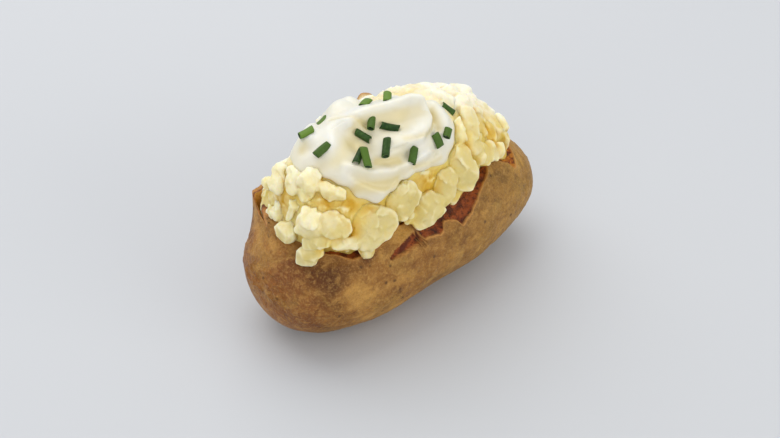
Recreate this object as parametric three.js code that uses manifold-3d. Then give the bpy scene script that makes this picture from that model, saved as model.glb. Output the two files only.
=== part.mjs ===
// A baked potato split along its top, its flesh fluffed up into a heap,
// with a folded spoonful of sour cream and cut chives on it. Millimetres, +Z up.
import * as THREE from 'three';
import { mergeVertices } from 'three/addons/utils/BufferGeometryUtils.js';
import Module from 'manifold-3d';

const wasm = await Module();
wasm.setup();

// the whole potato
const HALF_LENGTH = 70;
const HALF_WIDTH = 33;
const HALF_HEIGHT = 29.4;
const MIDDLE_HEIGHT = 28.6;
const END_BLUNTNESS = 0.305;
const TAPER = 0.125;
// its skin
const SKIN = 2.2;
const GAP = 0.3;
const SKIN_GRID = [36, 22, 13];
const HINGE_ANGLE = 152;
const FLAP_LEAN = [0.33, 0.944];
const FLAP_RADIUS = 31;
const TIP_X = 13.5;
const TIP_RISE = 1.4;
// the heap of fluffed flesh
const HEAP_X = -1;
const HEAP_Y = 4;
const HEAP_Z = 42;
const HEAP_LEFT = 56.5;
const HEAP_RIGHT = 61;
const HEAP_HALF_WIDTH = 31;
const HEAP_RISE = 45;
// the sour cream, laid out round one spot of the heap
const CREAM_X = -13;
const CREAM_ANGLE = 75;
const MM_PER_DEGREE = 0.67;
const CREAM_EDGE = 1.6;
const CREAM_THICK = 6.5;
// the chives
const CHIVE_RADIUS = 1.65;

const rad = (degrees) => (degrees * Math.PI) / 180;
const clamp = (value, low, high) => Math.min(high, Math.max(low, value));
const signedPower = (value, power) => Math.sign(value) * Math.abs(value) ** power;

function smooth(value) {
  const t = clamp(value, 0, 1);
  return t * t * (3 - 2 * t);
}

// value read off a list of [place, value] pairs, straight lines between them
function track(pairs, place) {
  if (place <= pairs[0][0]) return pairs[0][1];
  for (let i = 1; i < pairs.length; i += 1) {
    const [a, va] = pairs[i - 1];
    const [b, vb] = pairs[i];
    if (place <= b) return va + ((vb - va) * (place - a)) / (b - a);
  }
  return pairs[pairs.length - 1][1];
}

// the same uneven value for the same whole number, between -0.5 and 0.5
function chance(number) {
  const s = Math.sin(number * 12.9898 + 4.1) * 43758.5453;
  return s - Math.floor(s) - 0.5;
}

function uneven(place) {
  const whole = Math.floor(place);
  const rest = place - whole;
  return chance(whole) * (1 - rest) + chance(whole + 1) * rest;
}

// a closed solid from points in rows; each row is a ring, each end row closes to a point
function ringSolid(rows, columns, pointAt) {
  const points = [];
  const faces = [];
  for (let i = 0; i <= rows; i += 1) {
    for (let j = 0; j < columns; j += 1) points.push(...pointAt(i / rows, j / columns));
  }
  for (let i = 0; i < rows; i += 1) {
    for (let j = 0; j < columns; j += 1) {
      const k = (j + 1) % columns;
      const a = i * columns + j;
      const b = i * columns + k;
      faces.push(a, a + columns, b + columns, a, b + columns, b);
    }
  }
  return closedSolid(points, faces);
}

// joins points that share a place, drops faces without area and hands the rest to the cutter
function closedSolid(points, faces) {
  const seen = new Map();
  const kept = [];
  const numberOf = [];
  for (let i = 0; i < points.length; i += 3) {
    const key = points.slice(i, i + 3).map((v) => Math.round(v * 2e3)).join(' ');
    if (!seen.has(key)) {
      seen.set(key, kept.length / 3);
      kept.push(points[i], points[i + 1], points[i + 2]);
    }
    numberOf.push(seen.get(key));
  }
  const whole = [];
  for (let i = 0; i < faces.length; i += 3) {
    const [a, b, c] = faces.slice(i, i + 3).map((f) => numberOf[f]);
    if (a !== b && b !== c && c !== a) whole.push(a, b, c);
  }
  const mesh = new wasm.Mesh({
    numProp: 3,
    vertProperties: new Float32Array(kept),
    triVerts: new Uint32Array(whole),
  });
  const solid = new wasm.Manifold(mesh);
  if (solid.volume() > 0) return solid;
  for (let i = 0; i < whole.length; i += 3) [whole[i], whole[i + 1]] = [whole[i + 1], whole[i]];
  mesh.triVerts = new Uint32Array(whole);
  return new wasm.Manifold(mesh);
}

function largestBody(solid) {
  const bodies = solid.decompose();
  return bodies.reduce((best, body) => (body.volume() > best.volume() ? body : best));
}

// ---- potato and skin ----

// point of the closed potato: u runs along it from -1 to 1, angle round it (0 front, 90 top);
// it sags a little onto the flat spot it rests on
function potatoPoint(u, angle, depth) {
  const t = rad(angle);
  const x = (HALF_LENGTH - depth) * signedPower(u, 0.95);
  const shrink = Math.max(0, 1 - u * u) ** END_BLUNTNESS;
  const shoulder = 0.08 * Math.exp(-(((x + 58) / 15) ** 2) - ((angle - 128) / 40) ** 2);
  const waist = 0.04 * Math.exp(-(((x - 2) / 14) ** 2) - ((angle + 50) / 40) ** 2);
  const rest = 0.045 * Math.exp(-((x / 18) ** 2) - ((angle + 90) / 25) ** 2);
  const size = shrink * (1 + shoulder - waist + rest);
  const y = -(HALF_WIDTH * (1 - TAPER * u) - depth) * size * Math.cos(t);
  const z = (HALF_HEIGHT * (1 - TAPER * u) - depth) * size * Math.sin(t);
  return [x, y, Math.max(z + MIDDLE_HEIGHT, depth < 0 ? depth : depth * 0.8)];
}

// the back flap is folded open: past the hinge the skin runs straight up
function skinPoint(u, angle, depth) {
  const [x, y, z] = potatoPoint(u, angle, depth);
  const hinge = potatoPoint(u, HINGE_ANGLE, depth);
  const shrink = Math.max(0, 1 - u * u) ** END_BLUNTNESS;
  const tip = TIP_RISE * Math.exp(-(((x - TIP_X) / 4) ** 2)) * smooth((106 - angle) / 16);
  const run = rad(Math.max(0, HINGE_ANGLE - angle)) * FLAP_RADIUS * shrink + tip;
  const past = angle < HINGE_ANGLE ? smooth((angle - 60) / 30) : 0;
  const open = 0.9 * smooth((x + 66) / 14) * (1 - smooth((x - 8) / 40)) * past;
  return [
    x,
    y * (1 - open) + (hinge[1] + run * FLAP_LEAN[0]) * open,
    z * (1 - open) + (hinge[2] + run * FLAP_LEAN[1]) * open,
  ];
}

// torn edges, as the angle round the potato at each place along it
const OPENING = [-61, 62];
const FRONT_EDGE = [
  [-61, 94], [-57, 74], [-51, 55], [-46, 48], [-41, 41], [-34, 39], [-23, 43], [-16.5, 48],
  [-10.5, 46], [-7, 29], [1.5, 26], [3.4, 27], [4.6, 34], [8, 33], [11.4, 30], [13.2, 24],
  [19.8, 27.5], [24.9, 35.5], [31.8, 44.7], [38, 53], [41.5, 63], [43.5, 65], [48, 57], [51, 53],
  [53, 44], [55, 46], [57.5, 58], [60, 76], [62, 93],
];
const BACK_EDGE = [
  [-61, 95], [-58, 106], [-54, 114], [-48, 122], [-35, 120], [-20, 112], [-4, 104], [7, 98], [10.5, 90],
  [15, 90], [17.5, 107], [30, 113], [45, 110], [56, 101], [62, 94],
];
// how much further up the torn under-layer reaches than the outer skin
const FRONT_LEDGE = [
  [-61, 1], [-50, 4], [-46, 6], [-36, 6], [-26, 2], [-10.5, 2], [-7, 14], [1.5, 19],
  [3.4, 18], [4.6, 12], [8, 13], [11.4, 16], [13.2, 21], [19.8, 17.5], [24.9, 14], [31.8, 10],
  [38, 8], [42, 6], [48, 9], [53, 16], [57.5, 15], [60, 9], [62, 2],
];

// both torn edges at one place, or nothing where the skin is whole
function edgeAngles(x, grow) {
  if (x < OPENING[0] || x > OPENING[1]) return null;
  const fade = clamp(Math.min(x - OPENING[0], OPENING[1] - x) / 5, 0, 1);
  const ledge = track(FRONT_LEDGE, x);
  const front = track(FRONT_EDGE, x) + 1.6 * fade * uneven(x * 0.41);
  const back = track(BACK_EDGE, x) + 4 * fade * uneven(x * 0.37 + 50);
  if (front + ledge + 1 > back - 2) return null;
  const middle = (front + ledge + back - 2) * 0.5;
  const more = grow * 2 * Math.hypot(1, ledge * 0.23);
  return {
    front: Math.min(front + more, middle - 0.2),
    frontInner: Math.min(front + ledge + more * 1.8, middle - 0.2),
    back: Math.max(back - grow * 3.5, middle + 0.2),
    backInner: Math.max(back - 2 - grow * 4.5, middle + 0.2),
  };
}

// skin as one closed shell: outer sheet, inner sheet and the torn wall between them
function tornSkin(grow) {
  const [stations, outerCount, innerCount] = SKIN_GRID;
  const points = [];
  const faces = [];
  const perRow = outerCount + innerCount + 2;
  const open = [];
  const addRow = (u, from, to, count, depth) => {
    for (let j = 0; j <= count; j += 1) {
      const angle = from + ((to - 360 - from) * j) / count;
      points.push(...skinPoint(u, angle < -180 ? angle + 360 : angle, depth));
    }
  };
  for (let i = 0; i <= stations; i += 1) {
    const u = Math.sin(Math.PI * (i / stations - 0.5));
    const edge = edgeAngles(HALF_LENGTH * signedPower(u, 0.95), grow);
    open.push(edge !== null);
    addRow(u, edge ? edge.front : 94, edge ? edge.back : 94, outerCount, -grow);
    addRow(u, edge ? edge.frontInner : 94, edge ? edge.backInner : 94, innerCount, SKIN + grow);
  }
  const outer = (i, j) => i * perRow + j;
  const inner = (i, j) => i * perRow + outerCount + 1 + j;
  const quad = (a, b, c, d) => faces.push(a, b, c, a, c, d);
  for (let i = 0; i < stations; i += 1) {
    for (let j = 0; j < outerCount; j += 1) {
      quad(outer(i, j), outer(i, j + 1), outer(i + 1, j + 1), outer(i + 1, j));
    }
    for (let j = 0; j < innerCount; j += 1) {
      quad(inner(i, j), inner(i + 1, j), inner(i + 1, j + 1), inner(i, j + 1));
    }
    if (open[i] || open[i + 1]) {
      const [m, n] = [outerCount, innerCount];
      quad(outer(i, 0), outer(i + 1, 0), inner(i + 1, 0), inner(i, 0));
      quad(outer(i, m), inner(i, n), inner(i + 1, n), outer(i + 1, m));
    }
  }
  return closedSolid(points, faces);
}

// slanted tear below the front flap, cut right through the skin
const CRACK_LOW = [[-26, 26], [-17.6, 26.3], [-11.4, 27.6], [-6, 29]];
const CRACK_HIGH = [[-26, 27], [-22.3, 32.2], [-15.4, 35.8], [-10.4, 38.5], [-6, 48]];

function crack(shrink) {
  const steps = 10;
  const points = [];
  const faces = [];
  for (let i = 0; i <= steps; i += 1) {
    const x = Math.max(-26 + 2 * i, -26 + shrink * 8);
    const u = signedPower(x / HALF_LENGTH, 1 / 0.95);
    const low = track(CRACK_LOW, x) + shrink * 2;
    const high = Math.max(low + 0.2, track(CRACK_HIGH, x) - shrink * 2);
    points.push(...potatoPoint(u, low, -3), ...potatoPoint(u, high, -3));
    points.push(...potatoPoint(u, high, SKIN + 3), ...potatoPoint(u, low, SKIN + 3));
  }
  for (let i = 0; i < steps; i += 1) {
    for (let j = 0; j < 4; j += 1) {
      const a = i * 4 + j;
      const b = i * 4 + ((j + 1) % 4);
      faces.push(a, b, b + 4, a, b + 4, a + 4);
    }
  }
  const last = steps * 4;
  faces.push(0, 3, 2, 0, 2, 1, last, last + 1, last + 2, last, last + 2, last + 3);
  return closedSolid(points, faces);
}

// ---- heap of flesh ----

// share of the heap's rise that its far side lacks towards the thick end
const FAR_SAG = [
  [-60, 0.15], [-54, 0.17], [-48, 0.21], [-42, 0.26], [-36, 0.27], [-30, 0.11], [-22, 0],
];

// size of the heap's section along it: blunt at the thick end, lower at the thin one
function heapSize(x) {
  const round = x > HEAP_X ? 2.5 : 4;
  const far = x > HEAP_X ? (x - HEAP_X) / HEAP_RIGHT : (HEAP_X - x) / HEAP_LEFT;
  return Math.max(0, 1 - far ** round) ** (1 / round) * (1 - 0.16 * smooth((x - 20) / 26));
}

// point of the heap: x along it, angle over it (0 front foot, 90 crest, 180 back foot)
function heapPoint(x, angle, lift) {
  const t = rad(angle);
  const k = heapSize(x);
  const narrow = 1 - 0.25 * smooth((angle - 110) / 60);
  const across = signedPower(Math.cos(t), 1 / 1.1) * narrow;
  const up = signedPower(Math.sin(t), 1 / 1.1);
  const rise = up < 0 ? 14 : HEAP_RISE;
  const sag = track(FAR_SAG, x) * smooth((angle - 98) / 24);
  return [
    x,
    HEAP_Y - (HEAP_HALF_WIDTH * k ** 0.6 + lift) * across,
    HEAP_Z + (rise * k * (1 - sag) + lift) * up,
  ];
}

// keeps the foot of the heap within the skin, and lets it spill out above the torn edges
function heldInside([x, y, z]) {
  const u = signedPower(clamp(x / HALF_LENGTH, -1, 1), 1 / 0.95);
  const depth = SKIN + 1.7;
  if (y < 0) {
    const across = -y / Math.max(0.1, -potatoPoint(u, 0, depth)[1]);
    const high = potatoPoint(u, 90, depth)[2] - MIDDLE_HEIGHT;
    const up = (z - MIDDLE_HEIGHT) / Math.max(0.1, high);
    const angle = (Math.atan2(up, across) * 180) / Math.PI;
    const above = angle - track(FRONT_EDGE, x) - track(FRONT_LEDGE, x);
    const allowed = 1 + 1.5 * smooth(above / 14);
    const pull = Math.min(1, allowed / Math.hypot(across, up));
    return [x, y * pull, MIDDLE_HEIGHT + (z - MIDDLE_HEIGHT) * pull];
  }
  const rim = skinPoint(u, track(BACK_EDGE, x), depth);
  const hinge = skinPoint(u, HINGE_ANGLE, depth);
  const share = clamp((z - hinge[2]) / Math.max(1, rim[2] - hinge[2]), 0, 1);
  const limit = hinge[1] + (rim[1] - hinge[1]) * share;
  const free = 20 * smooth((z - rim[2]) / 6);
  return [x, Math.min(y, limit + free), z];
}

// place on the heap with its along, up-slope and outward directions
function heapFrame(x, angle, lift) {
  const at = new THREE.Vector3(...heapPoint(x, angle, lift));
  const inward = x > HEAP_X ? -0.5 : 0.5;
  const along = new THREE.Vector3(...heapPoint(x + inward, angle, lift)).sub(at);
  along.multiplyScalar(Math.sign(inward)).normalize();
  const slope = new THREE.Vector3(...heapPoint(x, angle + 1, lift)).sub(at).normalize();
  const out = new THREE.Vector3().crossVectors(along, slope).normalize();
  slope.crossVectors(out, along);
  return { at, along, slope, out };
}

// broken chunks in front: x, angle, height, thickness, reach every 30 degrees round
const CHUNKS = [
  [-56.9, 26, 3.0, 2.3, [4.5, 5.3, 4.5, 3.7, 3.8, 5.1, 6.7, 7.3, 5.4, 5.1, 3.8, 3.8]],
  [-54.8, 34, 2.3, 2.9, [5.2, 3.9, 2.8, 2.6, 2.9, 4.7, 6.8, 6.3, 3.7, 3, 3.2, 5.4]],
  [-44.8, 21, 2.2, 2.7, [5.2, 4.5, 3.4, 2.9, 3.3, 5.1, 7.1, 5, 3, 2.5, 2.9, 4]],
  [-54.6, 52, 3.9, 4.1, [3.9, 4.1, 4.2, 5.1, 6, 5.5, 6.4, 7.8, 7.2, 7.3, 7.4, 4.9]],
  [-47.4, 36, 1.9, 3.2, [5.7, 4.7, 4.7, 5.4, 6.8, 7.4, 7, 7.1, 6.4, 5.5, 5.9, 6.9]],
  [-57.3, 65, 4.1, 3.2, [0.5, 0.6, 0.8, 1.1, 3.1, 4.8, 8.4, 8.9, 8.3, 5.3, 0.9, 0.5]],
  [-57.1, 94, 2.5, 2.5, [2.6, 2.6, 3.1, 3.1, 3, 2.8, 3.1, 3.3, 4.3, 5.2, 4.2, 3.3]],
  [-57.2, 104, 2.2, 2.3, [2.4, 1.9, 2.2, 2.4, 2.6, 2.6, 2.9, 3.1, 3, 3.2, 2.8, 2.6]],
  [-53.6, 116, 3.5, 2.3, [1.9, 1.1, 0.9, 0.9, 0.9, 1.2, 2.2, 2.5, 3.2, 4, 4.1, 3.1]],
  [-53.2, 101, 2.6, 2.7, [3.7, 4, 5.3, 5.2, 4.5, 3, 3.1, 4.6, 6.6, 8, 6.3, 4.1]],
  [-51.6, 87, 3.2, 2.7, [3.1, 3, 3.7, 4.6, 4.6, 3.3, 3.2, 3.8, 5.9, 7.5, 4.9, 3.4]],
  [-48.1, 74, 3.4, 3.6, [4.1, 4, 4.7, 4.1, 4.6, 4.9, 5.5, 5.9, 6.7, 7.2, 5.8, 4.5]],
  [-43.7, 57, 2.5, 2.9, [5, 2.7, 2.2, 2.6, 4.4, 5.6, 5.6, 4.9, 4.3, 4.1, 4.5, 5.7]],
  [-55.7, 74, 1.9, 2.2, [2.4, 3.8, 3.6, 3.1, 3.5, 1.5, 1.7, 3.3, 5.8, 2.9, 2, 2]],
  [-31.8, 23, 2.5, 3.2, [9.1, 9.4, 8.6, 9, 10.4, 11.3, 10, 9.7, 10.7, 8.8, 7.3, 7.7]],
  [-15.2, 29, 2.9, 3.2, [5.8, 7, 7.2, 7.1, 6.9, 7.2, 8.5, 8, 8, 7.9, 5.4, 5.4]],
  [-4.1, 16, 3.4, 3.6, [5.6, 6.9, 7.9, 8, 8, 7.4, 7.7, 9.3, 8.2, 5.4, 4.9, 4.9]],
  [8, 23, 2.7, 3.4, [1.7, 2.4, 5.4, 8.5, 8.4, 6.4, 7, 9, 9.6, 6, 4, 3]],
  [18, 29, 3.1, 3.6, [4.3, 4.2, 5.4, 9.2, 10.4, 8.9, 6.1, 5.8, 8.3, 9.6, 8.4, 5.6]],
  [29.9, 55, 2.2, 2.7, [3.1, 3.3, 4.7, 7.7, 8.6, 5, 4.1, 4.6, 6.1, 10.7, 6.3, 3.8]],
  [33, 75, 3.1, 3.2, [4.5, 4.3, 3.9, 3.5, 3.4, 3.6, 4.3, 5, 7, 6.1, 4.3, 4.1]],
  [37.3, 33, 1.8, 2.3, [2.9, 2.3, 2.4, 3, 5, 5.6, 4.3, 3.8, 3.8, 3.9, 4.5, 4.2]],
  [42.7, 31, 2.3, 2.3, [1.9, 2.3, 3.3, 3.7, 3.7, 4.1, 3.5, 3.7, 4.3, 4.1, 2.9, 2]],
  [22.5, 52, 1.9, 2.7, [1.7, 1.7, 2.3, 6.4, 4.6, 3.1, 2.9, 3.7, 5.3, 5.9, 4.5, 2.3]],
  [28.5, 31, 1.8, 2.7, [2.3, 2.2, 2.6, 3, 3.7, 3.5, 4, 3.5, 4, 2.9, 2.2, 2.2]],
];
const SERVED_SIDE = new THREE.Vector3(-0.48, -0.6, 0.64);

// lumps elsewhere: x, angle, lift, half sizes across / up-slope / outward, turn
const LUMPS = [
  [-49, 74, -1, 5, 6, 4, -25], [-36, 11, 1, 3.4, 5.2, 2.6, 12],
  [-13, 17, 0.6, 2.4, 4, 2.2, -20], [11.5, 15.5, 0, 3.6, 2.8, 2.6, 22],
  [36, 57, -1.2, 4.2, 6, 3.2, 12], [42, 52, -1.6, 3.6, 5, 3, -20],
  [27, 87, -1.2, 6.8, 4.6, 4.2, -30], [35, 80, -1.2, 5.2, 4.2, 3.6, 15],
  [40, 68, -1.4, 4, 4.6, 3.2, -20], [19, 104, -2.4, 4.6, 4.2, 4, 10],
  [27, 103, -1, 5, 4.4, 4, -25], [8, 110, -2.8, 5.4, 5, 4.4, 20],
  [-2, 121, -2.8, 4.6, 4.8, 4.2, -10], [26, 43, -0.6, 5, 6, 3.6, 15],
  [31, 33, -1, 4.6, 5, 3.2, -15],
  [-43, 126, -0.9, 5, 4.6, 3.8, 20], [-32, 124, -2, 6.4, 6, 4.6, -30],
  [-18.5, 118, -1, 5.5, 7, 4.1, 10], [-1, 121, -1.6, 5.2, 5.6, 4, 40],
  [15.5, 121, -2.6, 5, 6.4, 4.2, -15], [25, 116, -3.2, 5.4, 6.6, 4.2, 25],
  [39.5, 121, 0.2, 5, 4.6, 4, -10], [46, 107, 0.8, 4.4, 4.4, 4.2, 15],
  [54, 62, 0, 3.4, 4.4, 3, 10],
];
// lumps on the far side follow a rule: places along three rows, uneven sizes
const FAR_ROWS = [
  [92, 44, 10, 2], [106, 38, 0, 1], [113, 52, 0, 1], [144, -47, 14.5, 8], [162, -41, 14, 7],
];

function farLumps() {
  const list = [];
  for (const [angle, start, step, count] of FAR_ROWS) {
    for (let i = 0; i < count; i += 1) {
      const n = list.length * 7 + 11;
      const place = start + step * i + 5 * chance(n + 1);
      const ends = 1 - 0.4 * smooth((Math.abs(place) - 30) / 20);
      const size = (6.4 + 2.6 * chance(n)) * ends;
      list.push([
        place, angle + 12 * chance(n + 2), chance(n + 3) - 1.2, size,
        size * (1.1 + 0.6 * chance(n + 4)), size * 0.75, 90 * chance(n + 5),
      ]);
    }
  }
  return list;
}

// rounded, slightly boxy lump with a few dents
function lumpSolid([x, angle, lift, across, upSlope, outward, turn], number) {
  const { at, along, slope, out } = heapFrame(x, angle, lift);
  const ball = Math.max(across, upSlope) > 7
    ? new THREE.IcosahedronGeometry(1, 1) : new THREE.OctahedronGeometry(1, 1);
  ball.deleteAttribute('normal');
  ball.deleteAttribute('uv');
  const merged = mergeVertices(ball, 1e-4);
  const place = merged.getAttribute('position');
  const [c, s] = [Math.cos(rad(turn)), Math.sin(rad(turn))];
  const points = [];
  for (let i = 0; i < place.count; i += 1) {
    const d = new THREE.Vector3().fromBufferAttribute(place, i).normalize();
    const box = (Math.abs(d.x) ** 2.8 + Math.abs(d.y) ** 2.8 + Math.abs(d.z) ** 2.8) ** (1 / 2.8);
    const dents = Math.sin(2.1 * d.x + 5.2 * number) + Math.sin(2.7 * d.y + 3.1 * number + 1)
      + Math.sin(2.4 * d.z + 7.7 * number + 2);
    const r = (1 + 0.07 * dents) / box;
    const a = d.x * r * across;
    const b = d.y * r * upSlope;
    const spot = at.clone().addScaledVector(along, a * c - b * s);
    spot.addScaledVector(slope, a * s + b * c).addScaledVector(out, d.z * r * outward);
    points.push(spot.x, spot.y, spot.z);
  }
  return closedSolid(points, Array.from(merged.getIndex().array));
}

// broken chunk: its outline in the served side's plane, a smaller facet on top, a deep point
function chunkSolid([x, angle, height, thick, reach]) {
  const { at, out } = heapFrame(x, angle, height);
  out.add(SERVED_SIDE).normalize();
  const right = new THREE.Vector3(0, 0, 1).cross(SERVED_SIDE);
  right.addScaledVector(out, -right.dot(out)).normalize();
  const up = new THREE.Vector3().crossVectors(out, right);
  const points = [];
  const faces = [];
  const add = (far, turn, rise) => {
    const spot = at.clone().addScaledVector(right, far * Math.cos(turn));
    spot.addScaledVector(up, far * Math.sin(turn)).addScaledVector(out, rise);
    points.push(spot.x, spot.y, spot.z);
  };
  for (let i = 0; i < 12; i += 1) {
    add(reach[i], (i * Math.PI) / 6, -0.1 * thick);
    add(reach[i] * 0.78, (i * Math.PI) / 6, 0.7 * thick);
  }
  add(0, 0, 1.1 * thick);
  add(0, 0, -1.5 * thick);
  for (let i = 0; i < 12; i += 1) {
    const [a, b] = [2 * i, 2 * ((i + 1) % 12)];
    faces.push(a, b, b + 1, a, b + 1, a + 1, a + 1, b + 1, 24, b, a, 25);
  }
  return closedSolid(points, faces);
}

// ---- sour cream ----

// how far the spoonful reaches from its middle, every 15 degrees, starting along +X
const CREAM_REACH = [
  33, 27, 24, 20, 18.5, 21, 27, 30.5, 31, 34.8, 37.6, 37.6,
  32, 29.5, 28.8, 30, 31, 26, 23.4, 23.8, 27.8, 33.9, 35, 35.2,
];
// folds: height, width on the near side, width on the far side, then the line each one follows
const FOLDS = [
  [4.9, 4.2, 3.0, [-12, 8.5], [-5, 8.6], [3, 7.4], [11, 5.9], [17.5, 5], [19.8, 3]],
  [2.8, 5, 2, [19.8, 3], [20.6, -2], [20.2, -6], [17, -9.4], [11, -11.6], [4, -11]],
  [-2.4, 6, 6, [-9, 0], [2, -1], [9, -2]],
  [-1.6, 2, 2, [24, 1], [23.2, -5], [22.4, -11]],
  [3, 3.6, 3.6, [28.5, -2], [29, -8], [26.5, -15]],
  [1.8, 3, 3, [-15.5, 13.5], [-19, 9], [-23, 3]],
  [-2.4, 4.4, 4, [-13, 5], [-14, -2], [-11, -7]],
  [-1.8, 2.4, 1.8, [-13, -12], [-5, -14.4], [4, -15]],
  [1.7, 1.9, 1.7, [-24, -7], [-15, -15], [-6, -18.2], [5, -18.8], [13, -18]],
  [-1.5, 1.9, 1.8, [-22, -12.6], [-15, -19.8], [-8, -22.4], [2, -21.6]],
  [1.5, 2, 1.6, [-26, -9], [-20, -18.4], [-12.5, -25], [-4, -24], [4, -22.4]],
  [-1.8, 2.4, 2.4, [-31, 11], [-29.6, 10]],
  [2.6, 4.4, 4.4, [-6.5, 19], [-2, 21], [3, 21]],
  [-2, 3.4, 3.4, [-17, 14.5], [-13, 24]],
  [2.4, 4, 4, [-21.5, 20.5], [-27, 13.5]],
];

// height of one fold: a bell curve across its line, its two sides of different widths
function foldRise(a, b, [rise, near, far, ...line]) {
  let best = Infinity;
  let side = 0;
  for (let i = 1; i < line.length; i += 1) {
    const [x0, y0] = line[i - 1];
    const [dx, dy] = [line[i][0] - x0, line[i][1] - y0];
    const t = clamp(((a - x0) * dx + (b - y0) * dy) / (dx * dx + dy * dy), 0, 1);
    const away = Math.hypot(a - x0 - t * dx, b - y0 - t * dy);
    if (away < best) {
      best = away;
      side = Math.sign(dx * (b - y0) - dy * (a - x0));
    }
  }
  return rise * Math.exp(-((best / (side > 0 ? far : near)) ** 2));
}

function foldHeight(a, b) {
  return FOLDS.reduce((height, fold) => height + foldRise(a, b, fold), 0);
}

function reachAt(turn) {
  const place = ((((turn / 15) % 24) + 24) % 24);
  const i = Math.floor(place);
  const t = smooth(place - i);
  return CREAM_REACH[i] * (1 - t) + CREAM_REACH[(i + 1) % 24] * t;
}

function creamTop(a, b, share) {
  const dome = CREAM_EDGE + CREAM_THICK * Math.sqrt(Math.max(0, 1 - share ** 3));
  return dome + foldHeight(a, b) * (1 - share ** 8);
}

function creamSolid(grow) {
  const [topRings, lowRings, columns] = [13, 2, 40];
  return ringSolid(topRings + lowRings, columns, (v, w) => {
    const turn = 360 * w;
    const ring = v * (topRings + lowRings);
    const upper = ring <= topRings;
    const share = upper ? Math.sin((ring / topRings) * Math.PI * 0.5)
      : Math.cos(((ring - topRings) / lowRings) * Math.PI * 0.5);
    const reach = reachAt(turn) + grow * 3;
    const a = reach * share * Math.cos(rad(turn));
    const b = reach * share * Math.sin(rad(turn));
    const low = CREAM_EDGE - (CREAM_EDGE + 2) * Math.sqrt(Math.max(0, 1 - share ** 6)) - grow;
    const lift = upper ? creamTop(a, b, share) + grow * 1.3 : low;
    return heapPoint(CREAM_X + a, CREAM_ANGLE + b / MM_PER_DEGREE, lift);
  });
}

// chives on the cream: place from its middle, turn, length
const CHIVES = [
  [-15.2, 18.3, 19, 8], [-26.4, 13.8, -14, 6.4], [-27, 4, 2, 7.6], [-2.8, 2.8, -133, 6.4],
  [-8.6, 0.4, -69, 6.9], [3.6, -1.6, -42, 7.6], [-4.5, -9.3, -129, 8], [5.7, -16.3, -130, 7.2],
  [19.2, -15.5, -92, 6], [24.5, -14.7, -135, 4], [-16.4, -6.8, -149, 7], [-15, -9, -111, 8.4],
  [2.6, 11.4, 20, 4.8], [11.8, 9.4, 50, 6],
];
// chives on the flesh: x, angle, lift, turn, length
const LOOSE_CHIVES = [[23.6, 72, 0.7, -60, 6]];

function chiveSolid(x, angle, lift, turn, length) {
  const { at, along, slope, out } = heapFrame(x, angle, lift);
  const axis = along.clone().multiplyScalar(Math.cos(rad(turn)));
  axis.addScaledVector(slope, Math.sin(rad(turn)));
  const side = new THREE.Vector3().crossVectors(axis, out);
  const tube = new THREE.CylinderGeometry(CHIVE_RADIUS, CHIVE_RADIUS, length, 6);
  tube.applyMatrix4(new THREE.Matrix4().makeBasis(side, axis, out).setPosition(at));
  tube.deleteAttribute('normal');
  tube.deleteAttribute('uv');
  const merged = mergeVertices(tube, 1e-4);
  return closedSolid(
    Array.from(merged.getAttribute('position').array),
    Array.from(merged.getIndex().array),
  );
}

function chiveOnCream([a, b, turn, length], number) {
  const share = Math.hypot(a, b) / reachAt((Math.atan2(b, a) * 180) / Math.PI);
  const lift = creamTop(a, b, share) + CHIVE_RADIUS * (number === 11 ? 1.6 : 0.45);
  return chiveSolid(CREAM_X + a, CREAM_ANGLE + b / MM_PER_DEGREE, lift, turn, length);
}

// ---- putting it together ----

const union = (solids) => wasm.Manifold.union(solids);
const skinSolid = tornSkin(0).subtract(crack(0));
const skinRoom = tornSkin(GAP * 1.7).subtract(crack(GAP * 1.4));

const filling = ringSolid(16, 16, (v, w) => {
  const u = Math.sin(Math.PI * (v - 0.5));
  return potatoPoint(u, 360 * w - 180, SKIN + 1.6);
});
const mound = ringSolid(14, 20, (v, w) => {
  const x = HEAP_X + (v > 0.5 ? HEAP_RIGHT : HEAP_LEFT) * Math.sin(Math.PI * (v - 0.5));
  return heldInside(heapPoint(x, 360 * w - 180, 0));
});
const lumps = union([...[...LUMPS, ...farLumps()].map(lumpSolid), ...CHUNKS.map(chunkSolid)]);
const looseChives = union(LOOSE_CHIVES.map((chive) => chiveSolid(...chive)));
const creamRoom = creamSolid(GAP);
const core = filling.add(mound);
const fleshSolid = core.add(lumps).subtract(skinRoom).subtract(skinSolid).subtract(creamRoom);
const creamFull = creamSolid(0).add(union(CHIVES.map(chiveOnCream)));

function partMesh(name, solid, material) {
  const mesh = largestBody(solid).getMesh();
  const geometry = new THREE.BufferGeometry();
  geometry.setAttribute('position', new THREE.BufferAttribute(mesh.vertProperties, 3));
  geometry.setIndex(new THREE.BufferAttribute(mesh.triVerts, 1));
  geometry.computeVertexNormals();
  const part = new THREE.Mesh(geometry, material);
  part.name = name;
  return part;
}

const skinMaterial = new THREE.MeshStandardMaterial({ color: '#9a6a38', roughness: 0.6, metalness: 0 });
const fleshMaterial = new THREE.MeshStandardMaterial({ color: '#efe6b4', roughness: 0.7, metalness: 0 });
const creamMaterial = new THREE.MeshStandardMaterial({ color: '#f4f1e6', roughness: 0.4, metalness: 0 });

const group = new THREE.Group();
group.name = 'loaded_baked_potato';
group.add(partMesh('jacket', skinSolid, skinMaterial));
group.add(partMesh('flesh', fleshSolid.add(looseChives.subtract(creamRoom)), fleshMaterial));
group.add(partMesh('sour_cream', creamFull, creamMaterial));

export default group;
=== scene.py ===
"""A baked potato split along its top: torn skin, a heap of fluffed flesh, sour cream and chives.

Shapes are worked out in millimetres on grids of two parameters and put into meshes in metres.
"""
import itertools
import math

import bpy
import numpy as np
from mathutils import Matrix, Vector


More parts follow.
